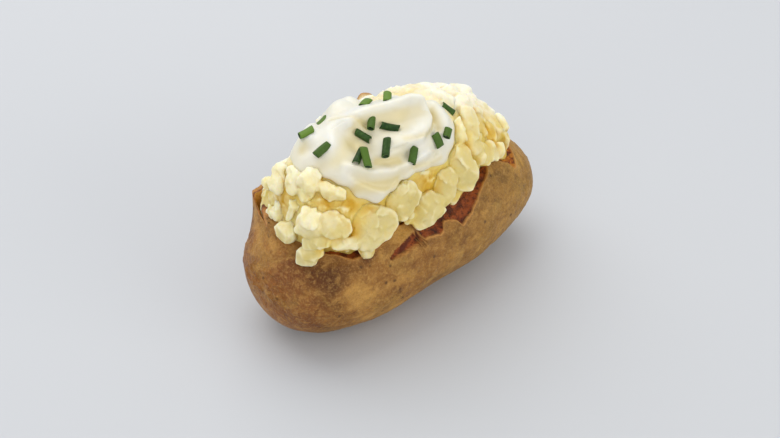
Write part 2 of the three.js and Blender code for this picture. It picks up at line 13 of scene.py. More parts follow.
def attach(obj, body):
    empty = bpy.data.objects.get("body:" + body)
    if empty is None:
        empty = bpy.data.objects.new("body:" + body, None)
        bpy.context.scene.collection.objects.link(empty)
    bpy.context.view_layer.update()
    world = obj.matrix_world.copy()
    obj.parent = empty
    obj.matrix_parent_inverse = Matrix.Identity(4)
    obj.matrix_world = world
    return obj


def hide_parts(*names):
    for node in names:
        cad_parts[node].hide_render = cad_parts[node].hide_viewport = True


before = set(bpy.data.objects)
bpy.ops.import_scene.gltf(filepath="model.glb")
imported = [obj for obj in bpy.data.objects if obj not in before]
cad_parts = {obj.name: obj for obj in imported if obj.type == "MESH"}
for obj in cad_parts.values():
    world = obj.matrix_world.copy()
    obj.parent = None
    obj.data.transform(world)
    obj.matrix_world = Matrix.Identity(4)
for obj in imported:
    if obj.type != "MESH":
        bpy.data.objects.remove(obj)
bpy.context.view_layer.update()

# ---- sizes in mm and degrees, the same as the solids' ----

# the whole potato: half sizes, the height of its middle, and how blunt and tapered it is
HALF_LENGTH = 70.0
HALF_WIDTH = 33.0
HALF_HEIGHT = 29.4
MIDDLE_HEIGHT = 28.6
END_BLUNTNESS = 0.305
TAPER = 0.125
LENGTH_POWER = 0.95
# the skin's thickness, its length round for each degree, and the seam past both ends of the split
SKIN = 2.2
SKIN_MM_PER_DEGREE = 0.56
SEAM_ANGLE = 94.0
# the back flap: where it bends open, the way it leans, and its raised tip
HINGE_ANGLE = 152.0
FLAP_LEAN = (0.33, 0.944)
FLAP_RADIUS = 31.0
TIP_X = 13.5
TIP_RISE = 1.4
# the heap of flesh: its middle, its reach to both ends, its half width, its height above and
# below that middle, how square its sections are, and the lifts between which a point is looked for
HEAP_X = -1.0
HEAP_Y = 4.0
HEAP_Z = 42.0
HEAP_LEFT = 56.5
HEAP_RIGHT = 61.0
HEAP_HALF_WIDTH = 31.0
HEAP_RISE = 45.0
HEAP_FOOT = 14.0
HEAP_SQUARENESS = 1.1
LEAST_LIFT = -12.0
MOST_LIFT = 16.0
# gap between the flesh and the inside of the skin
FLESH_GAP = 0.9
# the spoonful: its middle on the heap, the heap's length up-slope for each degree, its thickness
CREAM_X = -13.0
CREAM_ANGLE = 75.0
MM_PER_DEGREE = 0.67
CREAM_EDGE = 1.6
CREAM_THICK = 6.5
# a chive's outer radius, and the radius of its cut rim and of its bore as shares of that
CHIVE_RADIUS = 1.65
CHIVE_RIM = 0.93
CHIVE_BORE = 0.78

# torn edges, as the angle round the potato at each place along it
OPENING = (-61.0, 62.0)
FRONT_EDGE = [
    (-61, 94), (-57, 74), (-51, 55), (-46, 48), (-41, 41), (-34, 39), (-23, 43), (-16.5, 48),
    (-10.5, 46), (-7, 29), (1.5, 26), (3.4, 27), (4.6, 34), (8, 33), (11.4, 30), (13.2, 24),
    (19.8, 27.5), (24.9, 35.5), (31.8, 44.7), (38, 53), (41.5, 63), (43.5, 65), (48, 57), (51, 53),
    (53, 44), (55, 46), (57.5, 58), (60, 76), (62, 93),
]
BACK_EDGE = [
    (-61, 95), (-58, 106), (-54, 114), (-48, 122), (-35, 120), (-20, 112), (-4, 104), (7, 98),
    (10.5, 90), (15, 90), (17.5, 107), (30, 113), (45, 110), (56, 101), (62, 94),
]
# how many degrees the torn wall slopes inwards, in front (a broad ledge) and at the back
FRONT_LEDGE = [
    (-61, 1), (-50, 4), (-46, 6), (-36, 6), (-26, 2), (-10.5, 2), (-7, 14), (1.5, 19),
    (3.4, 18), (4.6, 12), (8, 13), (11.4, 16), (13.2, 21), (19.8, 17.5), (24.9, 14), (31.8, 10),
    (38, 8), (42, 6), (48, 9), (53, 16), (57.5, 15), (60, 9), (62, 2),
]
BACK_LEDGE = 2.0
# share of the heap's rise that its far side lacks towards the thick end
FAR_SAG = [
    (-60, 0.15), (-54, 0.17), (-48, 0.21), (-42, 0.26), (-36, 0.27), (-30, 0.11), (-22, 0),
]
# lower and upper side of the slanted tear below the front flap
CRACK_LOW = [(-26, 26), (-17.6, 26.3), (-11.4, 27.6), (-6, 29)]
CRACK_HIGH = [(-26, 27), (-22.3, 32.2), (-15.4, 35.8), (-10.4, 38.5), (-6, 48)]

# the skin's grid: stations along it, and steps round its outside, back wall, inside and ledge
STATIONS = 230
OUTER_STEPS = 244
WALL_STEPS = 4
INNER_STEPS = 40
LEDGE_STEPS = 12

# darker and paler parts of the skin: x, angle, half sizes along (mm) and round (degrees), amount.
# Most are its own blotches and spots; the dark ones just below the flesh at the thick end are
# partly painted shade under it, and the pale ones on top of the thick end partly painted sheen
TONES = [
    (-63, 62, 6, 14, -1.0), (-57, 46, 9, 12, -0.9), (-50, 30, 12, 12, -0.6), (-34, 37, 4, 6, -0.7),
    (-68, -20, 9, 22, -0.8), (-56, 6, 9, 12, -0.4), (-60, 118, 5, 12, 0.9), (-62, 92, 3, 12, 0.7),
    (-44, 18, 9, 8, 0.55), (-33, 6, 9, 8, 0.5), (-18, 8, 9, 7, 0.7), (6, 3, 10, 8, 0.6),
    (26, 16, 10, 10, 0.6), (36, -6, 8, 8, 0.5), (51, 20, 6, 12, -0.4), (-30, -24, 14, 8, 0.5),
    (14, 12, 6, 5, -0.5), (-6, -12, 8, 6, -0.4), (-16, 43, 8, 7, 1.1), (44, 44, 5, 8, -0.3),
    (44.5, 38, 1.6, 3, -1.5), (51.8, 34, 1.4, 3, -1.5), (55.7, 16, 1.5, 3, -1.3),
    (36.2, 25, 1.8, 4, -1.3), (62, 22, 1.2, 4, -1.2), (48, 46, 1.3, 4, -1.2),
    (30, 33, 1.5, 3, -1.0), (-24, -4, 1.5, 3, -1.0), (56.5, 53, 0.9, 12, 1.3),
    (58.2, 50, 0.7, 12, -1.2), (59.8, 50, 0.8, 14, 1.3), (62, 44, 0.8, 14, -0.9),
    (-65, 178, 1.6, 4.5, -2.6), (-65, -178, 1.6, 4.5, -2.6),
]
# lumps of flesh: x, angle, lift, half sizes across / up-slope / outward, turn
LUMPS = [
    (-49, 74, -1, 5, 6, 4, -25), (-36, 11, 1, 3.4, 5.2, 2.6, 12),
    (-13, 17, 0.6, 2.4, 4, 2.2, -20), (11.5, 15.5, 0, 3.6, 2.8, 2.6, 22),
    (36, 57, -1.2, 4.2, 6, 3.2, 12), (42, 52, -1.6, 3.6, 5, 3, -20),
    (27, 87, -1.2, 6.8, 4.6, 4.2, -30), (35, 80, -1.2, 5.2, 4.2, 3.6, 15),
    (40, 68, -1.4, 4, 4.6, 3.2, -20), (19, 104, -2.4, 4.6, 4.2, 4, 10),
    (27, 103, -1, 5, 4.4, 4, -25), (8, 110, -2.8, 5.4, 5, 4.4, 20),
    (-2, 121, -2.8, 4.6, 4.8, 4.2, -10), (26, 43, -0.6, 5, 6, 3.6, 15),
    (31, 33, -1, 4.6, 5, 3.2, -15),
    (-43, 126, -0.9, 5, 4.6, 3.8, 20), (-32, 124, -2, 6.4, 6, 4.6, -30),
    (-18.5, 118, -1, 5.5, 7, 4.1, 10), (-1, 121, -1.6, 5.2, 5.6, 4, 40),
    (15.5, 121, -2.6, 5, 6.4, 4.2, -15), (25, 116, -3.2, 5.4, 6.6, 4.2, 25),
    (39.5, 121, 0.2, 5, 4.6, 4, -10), (46, 107, 0.8, 4.4, 4.4, 4.2, 15),
    (54, 62, 0, 3.4, 4.4, 3, 10),
]
# rows of lumps on the far side: angle, first x, step, count
FAR_ROWS = [
    (92, 44, 10, 2), (106, 38, 0, 1), (113, 52, 0, 1), (144, -47, 14.5, 8), (162, -41, 14, 7),
]
# broken chunks in front: x, angle, height, thickness, reach every 30 degrees round from the right
CHUNKS = [
    (-56.9, 26, 3.0, 2.3, [4.5, 5.3, 4.5, 3.7, 3.8, 5.1, 6.7, 7.3, 5.4, 5.1, 3.8, 3.8]),
    (-54.8, 34, 2.3, 2.9, [5.2, 3.9, 2.8, 2.6, 2.9, 4.7, 6.8, 6.3, 3.7, 3, 3.2, 5.4]),
    (-44.8, 21, 2.2, 2.7, [5.2, 4.5, 3.4, 2.9, 3.3, 5.1, 7.1, 5, 3, 2.5, 2.9, 4]),
    (-54.6, 52, 3.9, 4.1, [3.9, 4.1, 4.2, 5.1, 6, 5.5, 6.4, 7.8, 7.2, 7.3, 7.4, 4.9]),
    (-47.4, 36, 1.9, 3.2, [5.7, 4.7, 4.7, 5.4, 6.8, 7.4, 7, 7.1, 6.4, 5.5, 5.9, 6.9]),
    (-57.3, 65, 4.1, 3.2, [0.5, 0.6, 0.8, 1.1, 3.1, 4.8, 8.4, 8.9, 8.3, 5.3, 0.9, 0.5]),
    (-57.1, 94, 2.5, 2.5, [2.6, 2.6, 3.1, 3.1, 3, 2.8, 3.1, 3.3, 4.3, 5.2, 4.2, 3.3]),
    (-57.2, 104, 2.2, 2.3, [2.4, 1.9, 2.2, 2.4, 2.6, 2.6, 2.9, 3.1, 3, 3.2, 2.8, 2.6]),
    (-53.6, 116, 3.5, 2.3, [1.9, 1.1, 0.9, 0.9, 0.9, 1.2, 2.2, 2.5, 3.2, 4, 4.1, 3.1]),
    (-53.2, 101, 2.6, 2.7, [3.7, 4, 5.3, 5.2, 4.5, 3, 3.1, 4.6, 6.6, 8, 6.3, 4.1]),
    (-51.6, 87, 3.2, 2.7, [3.1, 3, 3.7, 4.6, 4.6, 3.3, 3.2, 3.8, 5.9, 7.5, 4.9, 3.4]),
    (-48.1, 74, 3.4, 3.6, [4.1, 4, 4.7, 4.1, 4.6, 4.9, 5.5, 5.9, 6.7, 7.2, 5.8, 4.5]),
    (-43.7, 57, 2.5, 2.9, [5, 2.7, 2.2, 2.6, 4.4, 5.6, 5.6, 4.9, 4.3, 4.1, 4.5, 5.7]),
    (-55.7, 74, 1.9, 2.2, [2.4, 3.8, 3.6, 3.1, 3.5, 1.5, 1.7, 3.3, 5.8, 2.9, 2, 2]),
    (-31.8, 23, 2.5, 3.2, [9.1, 9.4, 8.6, 9, 10.4, 11.3, 10, 9.7, 10.7, 8.8, 7.3, 7.7]),
    (-15.2, 29, 2.9, 3.2, [5.8, 7, 7.2, 7.1, 6.9, 7.2, 8.5, 8, 8, 7.9, 5.4, 5.4]),
    (-4.1, 16, 3.4, 3.6, [5.6, 6.9, 7.9, 8, 8, 7.4, 7.7, 9.3, 8.2, 5.4, 4.9, 4.9]),
    (8, 23, 2.7, 3.4, [1.7, 2.4, 5.4, 8.5, 8.4, 6.4, 7, 9, 9.6, 6, 4, 3]),
    (18, 29, 3.1, 3.6, [4.3, 4.2, 5.4, 9.2, 10.4, 8.9, 6.1, 5.8, 8.3, 9.6, 8.4, 5.6]),
    (29.9, 55, 2.2, 2.7, [3.1, 3.3, 4.7, 7.7, 8.6, 5, 4.1, 4.6, 6.1, 10.7, 6.3, 3.8]),
    (33, 75, 3.1, 3.2, [4.5, 4.3, 3.9, 3.5, 3.4, 3.6, 4.3, 5, 7, 6.1, 4.3, 4.1]),
    (37.3, 33, 1.8, 2.3, [2.9, 2.3, 2.4, 3, 5, 5.6, 4.3, 3.8, 3.8, 3.9, 4.5, 4.2]),
    (42.7, 31, 2.3, 2.3, [1.9, 2.3, 3.3, 3.7, 3.7, 4.1, 3.5, 3.7, 4.3, 4.1, 2.9, 2]),
    (22.5, 52, 1.9, 2.7, [1.7, 1.7, 2.3, 6.4, 4.6, 3.1, 2.9, 3.7, 5.3, 5.9, 4.5, 2.3]),
    (28.5, 31, 1.8, 2.7, [2.3, 2.2, 2.6, 3, 3.7, 3.5, 4, 3.5, 4, 2.9, 2.2, 2.2]),
]
# the way the broken faces of the chunks look: half left, to the front and up
SERVED_SIDE = (-0.48, -0.6, 0.64)
# painted shade: deep golden in the hollows between the lumps;
# its places: x, angle on the heap, half sizes
GOLDEN_SHADE_PLACES = [
    (-43, 66, 5, 9), (-47, 53, 4, 7), (-39, 42, 6, 7), (-42, 27, 4, 6), (-1, 31, 4.5, 7),
    (41, 50, 6, 12), (37, 70, 6, 8), (-55.5, 91, 3.5, 10), (-30, 36, 6, 6), (22, 40, 2, 8),
]

# yellower places of the flesh, partly its own yellow and partly painted shade:
# x, angle on the heap, half sizes, amount
YELLOW_AND_SHADE_PLACES = [
    (-20, 26, 16, 12, 0.8), (2, 24, 16, 14, 0.8), (20, 34, 12, 14, 0.7), (38, 42, 10, 14, 0.8),
    (-41, 24, 7, 10, 0.7), (-40, 44, 8, 10, 0.5), (-57, 26, 4, 6, 0.9), (32, 60, 8, 12, 0.4),
    (-52, 80, 8, 22, 0.1), (-46, 60, 8, 10, 0.3), (-52, 38, 8, 10, 0.5), (-31, 23, 6, 10, 0.35),
    (46, 52, 10, 14, 0.3), (41, 69, 8, 10, 0.25),
]
# lumps below this angle belong to the served side, the others to the crest and far side
CREST_ANGLE = 82.0
CHUNK_CELL, QUICK_CHUNK_CELL = 0.44, 0.8
HEAP_CELL, QUICK_HEAP_CELL = 0.66, 1.1
# a high power keeps the edges of a lump sharp; how many crumbs are drawn, most of them dropped
LUMP_SHARPNESS = 11
CRUMB_DRAWS = 1000
# where the strewn crumbs begin: x, angle
CRUMB_START = [(-56, 70), (-48, 40), (-30, 24), (24, 24), (32, 44), (40, 70), (54, 92)]

# reach of the spoonful every 15 degrees round from the thin end
CREAM_REACH = np.array([
    33, 27, 24, 20, 18.5, 21, 27, 30.5, 31, 34.8, 37.6, 37.6,
    32, 29.5, 28.8, 30, 31, 26, 23.4, 23.8, 27.8, 33.9, 35, 35.2,
])
# folds: rise, width on the near side, width on the far side, then the line each one follows
FOLDS = [
    (4.9, 4.2, 3.0, [(-12, 8.5), (-5, 8.6), (3, 7.4), (11, 5.9), (17.5, 5.0), (19.8, 3)]),
    (2.8, 5.0, 1.6, [(19.8, 3), (20.6, -2), (20.2, -6), (17, -9.4), (11, -11.6), (4, -11)]),
    (-2.4, 6, 6, [(-9, 0), (2, -1), (9, -2)]),
    (-1.6, 2, 2, [(24, 1), (23.2, -5), (22.4, -11)]),
    (3.0, 3.6, 3.6, [(28.5, -2), (29, -8), (26.5, -15)]),
    (1.8, 3.0, 3.0, [(-15.5, 13.5), (-19, 9), (-23, 3)]),
    (-2.4, 4.4, 4, [(-13, 5), (-14, -2), (-11, -7)]),
    (-1.8, 2.4, 1.8, [(-13, -12), (-5, -14.4), (4, -15)]),
    (1.7, 1.9, 1.7, [(-24, -7), (-15, -15), (-6, -18.2), (5, -18.8), (13, -18)]),
    (-1.4, 1.2, 1.2, [(4, -20.6), (11, -21), (17, -19.4)]),
    (-1.5, 1.9, 1.8, [(-22, -12.6), (-15, -19.8), (-8, -22.4), (2, -21.6)]),
    (1.5, 2.0, 1.6, [(-26, -9), (-20, -18.4), (-12.5, -25), (-4, -24), (4, -22.4)]),
    (-1.8, 2.4, 2.4, [(-31, 11), (-29.6, 10)]),
    (2.6, 4.4, 4.4, [(-6.5, 19), (-2, 21), (3, 21)]),
    (-2.0, 3.4, 3.4, [(-17, 14.5), (-13, 24)]),
    (2.4, 4.0, 4.0, [(-21.5, 20.5), (-27, 13.5)]),
    (-1.0, 1.0, 1.0, [(23.2, -4.4), (22, -7.4), (18.8, -9.8), (14.6, -11.2), (9.4, -10.8)]),
    (-0.9, 0.9, 0.9, [(-14.4, 13.2), (-10, 9.8), (-7, 6.4), (-5, 3.4)]),
]
# painted shade on the cream, beige in its hollows, under its crests and along its low rim:
# amount, width on each side, then the line each one follows
PAINTED_SHADES = [
    (0.75, 3.6, 1.4, [(-9.6, 5.8), (-3.4, 5.2), (2.8, 3.4), (9.4, 2.2), (14.8, 0.6), (17.4, -1.8)]),
    (0.7, 1.3, 1.3, [
        (23.2, -4.4), (22, -7.4), (18.8, -9.8), (14.6, -11.2), (9.4, -10.8), (4, -9.4),
    ]),
    (0.55, 4.5, 3.5, [(-20, -1.5), (-16, 0.5), (-12.4, -1.4)]),
    (0.8, 1.6, 1.6, [(-9.8, -11.8), (-6.2, -13.8), (-1.2, -15.4)]),
    (0.85, 2.6, 2.2, [(-22, -17), (-17.6, -19.6), (-11.2, -21.8), (-5, -22.6)]),
    (0.6, 1.8, 1.8, [(-30.6, 11.8), (-29.4, 11.8)]),
    (0.6, 1.4, 1.4, [(25.2, -3), (24.6, -7), (23, -11.8)]),
    (0.55, 1.1, 1.1, [(5.4, -20.4), (10, -21.6), (15, -22.2), (18.8, -22)]),
    (0.45, 2.4, 2.4, [(-30.6, 1), (-28.4, -2), (-25.2, -3)]),
    (0.6, 1.0, 1.0, [(-14.4, 12.6), (-10, 9.2), (-7, 5.8), (-5, 3)]),
    (0.35, 6.0, 6.0, [(-20, -15), (-10, -20.5), (0, -18.5)]),
]
# crests that curl over: how far sideways, how wide, and which fold
CURLS = [(0.0, -1.6, 3.0, 0), (1.0, -0.5, 2.4, 1)]

# chives on the cream: place from its middle, turn, length, flattening, paleness; the crossing
# one lies over its neighbour
CROSSING_CHIVE = 11
CHIVES = [
    (-15.2, 18.3, 19, 8, 0.5, 0.7), (-26.4, 13.8, -14, 6.4, 0.65, 0.95),
    (-27, 4, 2, 7.6, 1.05, 0.35), (-2.8, 2.8, -133, 6.4, 0.9, 0.4),
    (-8.6, 0.4, -69, 6.9, 0.9, 0.1), (3.6, -1.6, -42, 7.6, 0.9, 0.0),
    (-4.5, -9.3, -129, 8, 1, 0.1), (5.7, -16.3, -130, 7.2, 1, 0.35),
    (19.2, -15.5, -92, 6, 0.9, 0.4), (24.5, -14.7, -135, 4, 0.9, 0.45),
    (-16.4, -6.8, -149, 7, 1, 0.0), (-15, -9, -111, 8.4, 0.72, 0.6),
    (2.6, 11.4, 20, 4.8, 0.5, 0.9), (11.8, 9.4, 50, 6, 0.9, 1.0),
]
# chives on the flesh: x, angle, lift, turn, length, flattening, paleness
LOOSE_CHIVES = [(23.6, 72, 0.7, -60, 6, 0.8, 0.2)]


# ---- small sums ----

def smooth(value):
    """0 to 1 with flat ends: 3t^2 - 2t^3 of the value held between 0 and 1."""
    t = np.clip(value, 0.0, 1.0)
    return t * t * (3.0 - 2.0 * t)


def track(pairs, place):
    """Value read off a list of (place, value) pairs, straight lines between them."""
    table = np.array(pairs, dtype=float)
    return np.interp(place, table[:, 0], table[:, 1])


def bell(x, angle, at_x, at_angle, along, around):
    """1 at a place on the potato, falling off as e to minus the squared distance in half sizes."""
    return np.exp(-(((x - at_x) / along) ** 2) - ((angle - at_angle) / around) ** 2)


def signed_power(value, power):
    """The size of the value raised to the power, with the value's sign."""
    return np.sign(value) * np.abs(value) ** power


def chance(number):
    """The same uneven value for the same number, -0.5 to 0.5: end digits of a large sine."""
    s = np.sin(np.asarray(number, dtype=float) * 12.9898 + 4.1) * 43758.5453
    return s - np.floor(s) - 0.5


def uneven(place):
    """Straight lines between the uneven values of the whole numbers."""
    whole = np.floor(place)
    rest = place - whole
    return chance(whole) * (1 - rest) + chance(whole + 1) * rest


def soft_noise(points, size, seed=0.0):
    """Uneven values at the corners of cubes of this size, blended smoothly in between, -1 to 1."""
    place = np.asarray(points) / size
    cell = np.floor(place)
    blend = place - cell
    blend = blend * blend * (3.0 - 2.0 * blend)
    total = np.zeros(place.shape[:-1])
    for corner in itertools.product((0, 1), repeat=3):
        at = cell + np.array(corner)
        s = np.sin(at @ np.array([127.1, 311.7, 74.7]) + seed * 53.3) * 43758.5453
        share = np.prod(np.where(np.array(corner) == 1, blend, 1.0 - blend), axis=-1)
        total += share * (s - np.floor(s))
    return total * 2.0 - 1.0


def many_noises(points, size, octaves, seed=0.0):
    """Sum of soft noises, each half the size and half the height of the one before."""
    return sum(
        soft_noise(points, size * 0.5 ** n, seed + 7.0 * n) * 0.5 ** n for n in range(octaves)
    )


SCATTER = np.array([[127.1, 269.5, 113.5], [311.7, 183.3, 271.9], [74.7, 246.1, 124.6]])


def scatter(cells, seed):
    """Three uneven values for each cell, -0.5 to 0.5: end digits of large sines."""
    s = np.sin(cells @ SCATTER + seed * 53.3) * 43758.5453
    return s - np.floor(s) - 0.5


def chips(points, size, seed=0.0):
    """Height of small flat chips: round each scattered middle a plane that tilts its own way."""
    place = points / size
    base = np.floor(place)
    nearest = np.full(len(points), np.inf)
    height = np.zeros(len(points))
    for corner in itertools.product((-1, 0, 1), repeat=3):
        cell = base + np.array(corner)
        away = place - cell - 0.5 - 0.8 * scatter(cell, seed)
        apart = (away * away).sum(axis=1)
        closer = apart < nearest
        nearest = np.where(closer, apart, nearest)
        height = np.where(closer, (away * scatter(cell, seed + 9.0)).sum(axis=1), height)
    return height * size


# ---- meshes ----

def weld(points, faces):
    """Joins points that share a place, splits four-sided faces and drops faces without area."""
    keys = np.round(points * 2000.0).astype(np.int64)
    _, first, number = np.unique(keys, axis=0, return_index=True, return_inverse=True)
    number = number.reshape(-1)
    if faces.shape[1] == 4:
        faces = np.concatenate([faces[:, [0, 1, 2]], faces[:, [0, 2, 3]]])
    faces = number[faces]
    a, b, c = faces.T
    return first, faces[(a != b) & (b != c) & (c != a)]


def put_mesh(name, points, faces, marks=None):
    """A mesh object from points in mm and faces of one size, with a value per point and mark."""
    mesh = bpy.data.meshes.new(name)
    mesh.vertices.add(len(points))
    mesh.vertices.foreach_set("co", (points * 0.001).astype(np.float32).ravel())
    corners = faces.shape[1]
    mesh.loops.add(faces.size)
    mesh.loops.foreach_set("vertex_index", faces.astype(np.int32).ravel())
    mesh.polygons.add(len(faces))
    mesh.polygons.foreach_set("loop_start", np.arange(0, faces.size, corners, dtype=np.int32))
    mesh.polygons.foreach_set("use_smooth", np.ones(len(faces), dtype=bool))
    mesh.update(calc_edges=True)
    for mark, values in (marks or {}).items():
        layer = mesh.attributes.new(mark, "FLOAT", "POINT")
        layer.data.foreach_set("value", np.asarray(values, dtype=np.float32))
    mesh.validate()
    piece = bpy.data.objects.new(name, mesh)
    bpy.context.collection.objects.link(piece)
    return piece


def grid_faces(rows, columns, wrap=True):
    """Four-sided faces of a grid of points; the last column joins the first where it wraps."""
    across = columns if wrap else columns - 1
    i, j = np.meshgrid(np.arange(rows - 1), np.arange(across), indexing="ij")
    k = (j + 1) % columns
    a = i * columns + j
    b = i * columns + k
    return np.stack([a, a + columns, b + columns, b], axis=-1).reshape(-1, 4)


def outward(points, faces):
    """Turns all the faces round if the volume they close comes out negative."""
    p = points[faces[:, :3]]
    volume = np.einsum("ij,ij->i", p[:, 0], np.cross(p[:, 1], p[:, 2])).sum()
    return faces if volume > 0 else faces[:, ::-1]


def closed_piece(name, points, faces, marks=None):
    """Welds a grid's seams and poles, turns its faces outwards and makes the object."""
    flat = points.reshape(-1, 3)
    first, faces = weld(flat, faces)
    points = flat[first]
    kept = {mark: np.asarray(values).reshape(-1)[first] for mark, values in (marks or {}).items()}
    return put_mesh(name, points, outward(points, faces), kept)


def point_normals(points, faces):
    """Mean of the normals of the faces round each point, by area."""
    p = points[faces]
    n = np.cross(p[:, 1] - p[:, 0], p[:, 2] - p[:, 0])
    total = np.zeros_like(points)
    for corner in range(3):
        for axis in range(3):
            total[:, axis] += np.bincount(faces[:, corner], n[:, axis], len(points))
    return total / np.maximum(np.linalg.norm(total, axis=1, keepdims=True), 1e-12)


# ---- potato and skin ----

def potato_point(u, angle, depth):
    """Point of the closed potato: u along it from -1 to 1, angle round it (0 front, 90 top).

    Each section is an ellipse that shrinks to both ends as (1 - u^2)^0.305, with a shoulder
    at the back of the thick end, a slight waist below the middle, and a small flat spot to rest on.
    """
    t = np.radians(angle)
    x = (HALF_LENGTH - depth) * signed_power(u, LENGTH_POWER)
    shrink = np.maximum(0.0, 1.0 - u * u) ** END_BLUNTNESS
    shoulder = 0.08 * bell(x, angle, -58, 128, 15, 40)
    waist = 0.04 * bell(x, angle, 2, -50, 14, 40)
    rest = 0.045 * bell(x, angle, 0, -90, 18, 25)
    size = shrink * (1 + shoulder - waist + rest)
    y = -(HALF_WIDTH * (1 - TAPER * u) - depth) * size * np.cos(t)
    z = (HALF_HEIGHT * (1 - TAPER * u) - depth) * size * np.sin(t)
    lowest = 0.8 * np.maximum(depth, 0.0)
    return np.stack([x, y, np.maximum(z + MIDDLE_HEIGHT, lowest)], axis=-1)


def skin_point(u, angle, depth):
    """The potato's point, but above the hinge the back flap runs straight up and stands open.

    The flap's length is the angle past the hinge times its radius, a bell-shaped tip longer;
    it eases into the round section at both ends of the split.
    """
    p = potato_point(u, angle, depth)
    hinge = potato_point(u, np.full_like(angle, HINGE_ANGLE), depth)
    x = p[..., 0]
    shrink = np.maximum(0.0, 1.0 - u * u) ** END_BLUNTNESS
    run = np.radians(np.maximum(0.0, HINGE_ANGLE - angle)) * FLAP_RADIUS * shrink
    run = run + TIP_RISE * np.exp(-(((x - TIP_X) / 4) ** 2)) * smooth((106 - angle) / 16)
    past = np.where(angle < HINGE_ANGLE, smooth((angle - 60) / 30), 0.0)
    opened = 0.9 * smooth((x + 66) / 14) * (1 - smooth((x - 8) / 40)) * past
    y = p[..., 1] * (1 - opened) + (hinge[..., 1] + run * FLAP_LEAN[0]) * opened
    z = p[..., 2] * (1 - opened) + (hinge[..., 2] + run * FLAP_LEAN[1]) * opened
    return np.stack([x, y, z], axis=-1)


def edge_angles(x):
    """Whether the skin is split at each place, and its front and back edges, outer and inner.

    Each edge is its listed line plus uneven straight lines of two or three sizes, which fade
    out towards both ends of the split. Past those ends all four edges lie on the seam.
    """
    fade = np.clip(np.minimum(x - OPENING[0], OPENING[1] - x) / 5, 0, 1)
    ledge = track(FRONT_LEDGE, x)
    ragged = 1.1 * uneven(x * 1.3 + 9) + 0.8 * uneven(x * 2.9 + 31)
    front = track(FRONT_EDGE, x) + fade * (1.6 * uneven(x * 0.41) + ragged)
    back = track(BACK_EDGE, x) + fade * (4 * uneven(x * 0.37 + 50) + 1.6 * uneven(x * 1.1 + 70))
    is_open = (x > OPENING[0]) & (x < OPENING[1]) & (front + ledge + 1 < back - BACK_LEDGE)
    edges = (front, front + ledge, back, back - BACK_LEDGE)
    return is_open, *(np.where(is_open, edge, SEAM_ANGLE) for edge in edges)


def crack_share(x, angle):
    """1 inside the slanted tear below the front flap, 0 outside: smooth steps at its two sides.

    The tear also fades where its sides come closer together than three degrees.
    """
    low = track(CRACK_LOW, x)
    high = track(CRACK_HIGH, x)
    wide = smooth((high - low) / 3.0) * smooth((x + 26.5) / 2.0) * (x < -6.2)
    return wide * smooth((angle - low) / 1.2 + 0.5) * smooth((high - angle) / 1.2 + 0.5)


def skin_relief(points, x, angle):
    """How far the skin stands out: broad dents, shrivelled ridges and curled tears.

    Noise of three sizes, ridges where folded noise comes near zero, a raised tongue above
    the slanted tear, a low lip below it, and a small bell-shaped root scar at the thick end.
    """
    broad = 0.45 * soft_noise(points, 13.0, 1.0) + 0.22 * soft_noise(points, 5.5, 2.0)
    fine = 0.07 * soft_noise(points, 2.2, 3.0) + 0.04 * soft_noise(points, 1.1, 4.0)
    stretched = points * np.array([0.35, 1.0, 1.0])
    creases = 1.0 - np.abs(soft_noise(stretched, 2.6, 5.0))
    thick_end = smooth((-x - 44) / 16) * smooth((angle + 15) / 20)
    shrivel = 0.25 + 1.3 * thick_end + 0.5 * smooth((x - 40) / 20)
    ridges = 0.6 * (creases ** 4 - 0.2) * shrivel
    narrow = 1.0 - np.abs(soft_noise(points * np.array([0.45, 1.0, 1.0]), 1.7, 6.0))
    ridges = ridges + 0.22 * narrow ** 3 * (0.4 + shrivel)
    low = track(CRACK_LOW, x)
    high = track(CRACK_HIGH, x)
    along = smooth((x + 26) / 6) * smooth((-5.5 - x) / 1.5)
    tongue = 0.9 * np.exp(-np.maximum(0.0, angle - high) / 9.0) * (angle > high)
    lip = 0.45 * np.exp(-np.maximum(0.0, low - angle) / 5.0) * (angle < low)
    root_scar = 1.1 * bell(x, np.abs(angle), -65, 178, 1.4, 4)
    return broad + fine + ridges + along * (tongue + lip) + root_scar


def skin_rings(front, front_in, back, back_in):
    """Angle, depth and kind (0 outside, 1 torn wall, 2 inside) of the places round each section.

    Each ring runs from the front torn edge under the potato to the back torn edge, over the
    torn wall to the inner sheet, back along it, and up the front ledge to where it began.
    """
    front, front_in, back, back_in = (edge[:, None] for edge in (front, front_in, back, back_in))
    t_outer = np.arange(OUTER_STEPS + 1) / OUTER_STEPS
    t_wall = np.arange(1, WALL_STEPS) / WALL_STEPS
    t_inner = np.arange(INNER_STEPS + 1) / INNER_STEPS
    t_ledge = np.arange(1, LEDGE_STEPS) / LEDGE_STEPS
    angle = np.concatenate([
        front + (back - 360 - front) * t_outer,
        back - 360 + (back_in - back) * t_wall,
        back_in - 360 + (front_in - back_in + 360) * t_inner,
        front_in + (front - front_in) * t_ledge,
    ], axis=1)
    angle = np.where(angle < -180, angle + 360, angle)
    every = np.ones((len(front), 1))
    depth = every * np.concatenate([
        0 * t_outer, SKIN * t_wall, np.full(len(t_inner), SKIN), SKIN * (1 - t_ledge) ** 0.7,
    ])
    counts = [len(t) for t in (t_outer, t_wall, t_inner, t_ledge)]
    kind = every * np.repeat([0.0, 1.0, 2.0, 1.0], counts)
    return angle, depth, kind


def skin_tone(plain, x, angle):
    """0 dark to 1 pale: noise of two sizes, streaks drawn out along the potato, and the TONES,
    which add some painted shade below the flesh and painted sheen at the thick end.
    """
    tone = 0.5 * soft_noise(plain, 15.0, 31.0) + 0.35 * soft_noise(plain, 6.0, 32.0)
    tone += 0.34 * many_noises(plain * np.array([0.3, 1.0, 1.0]), 2.6, 2, 33.0)
    for at_x, at_angle, along, around, amount in TONES:
        tone += amount * bell(x, angle, at_x, at_angle, along, around)
    return np.clip(0.5 + 0.5 * tone, 0, 1)


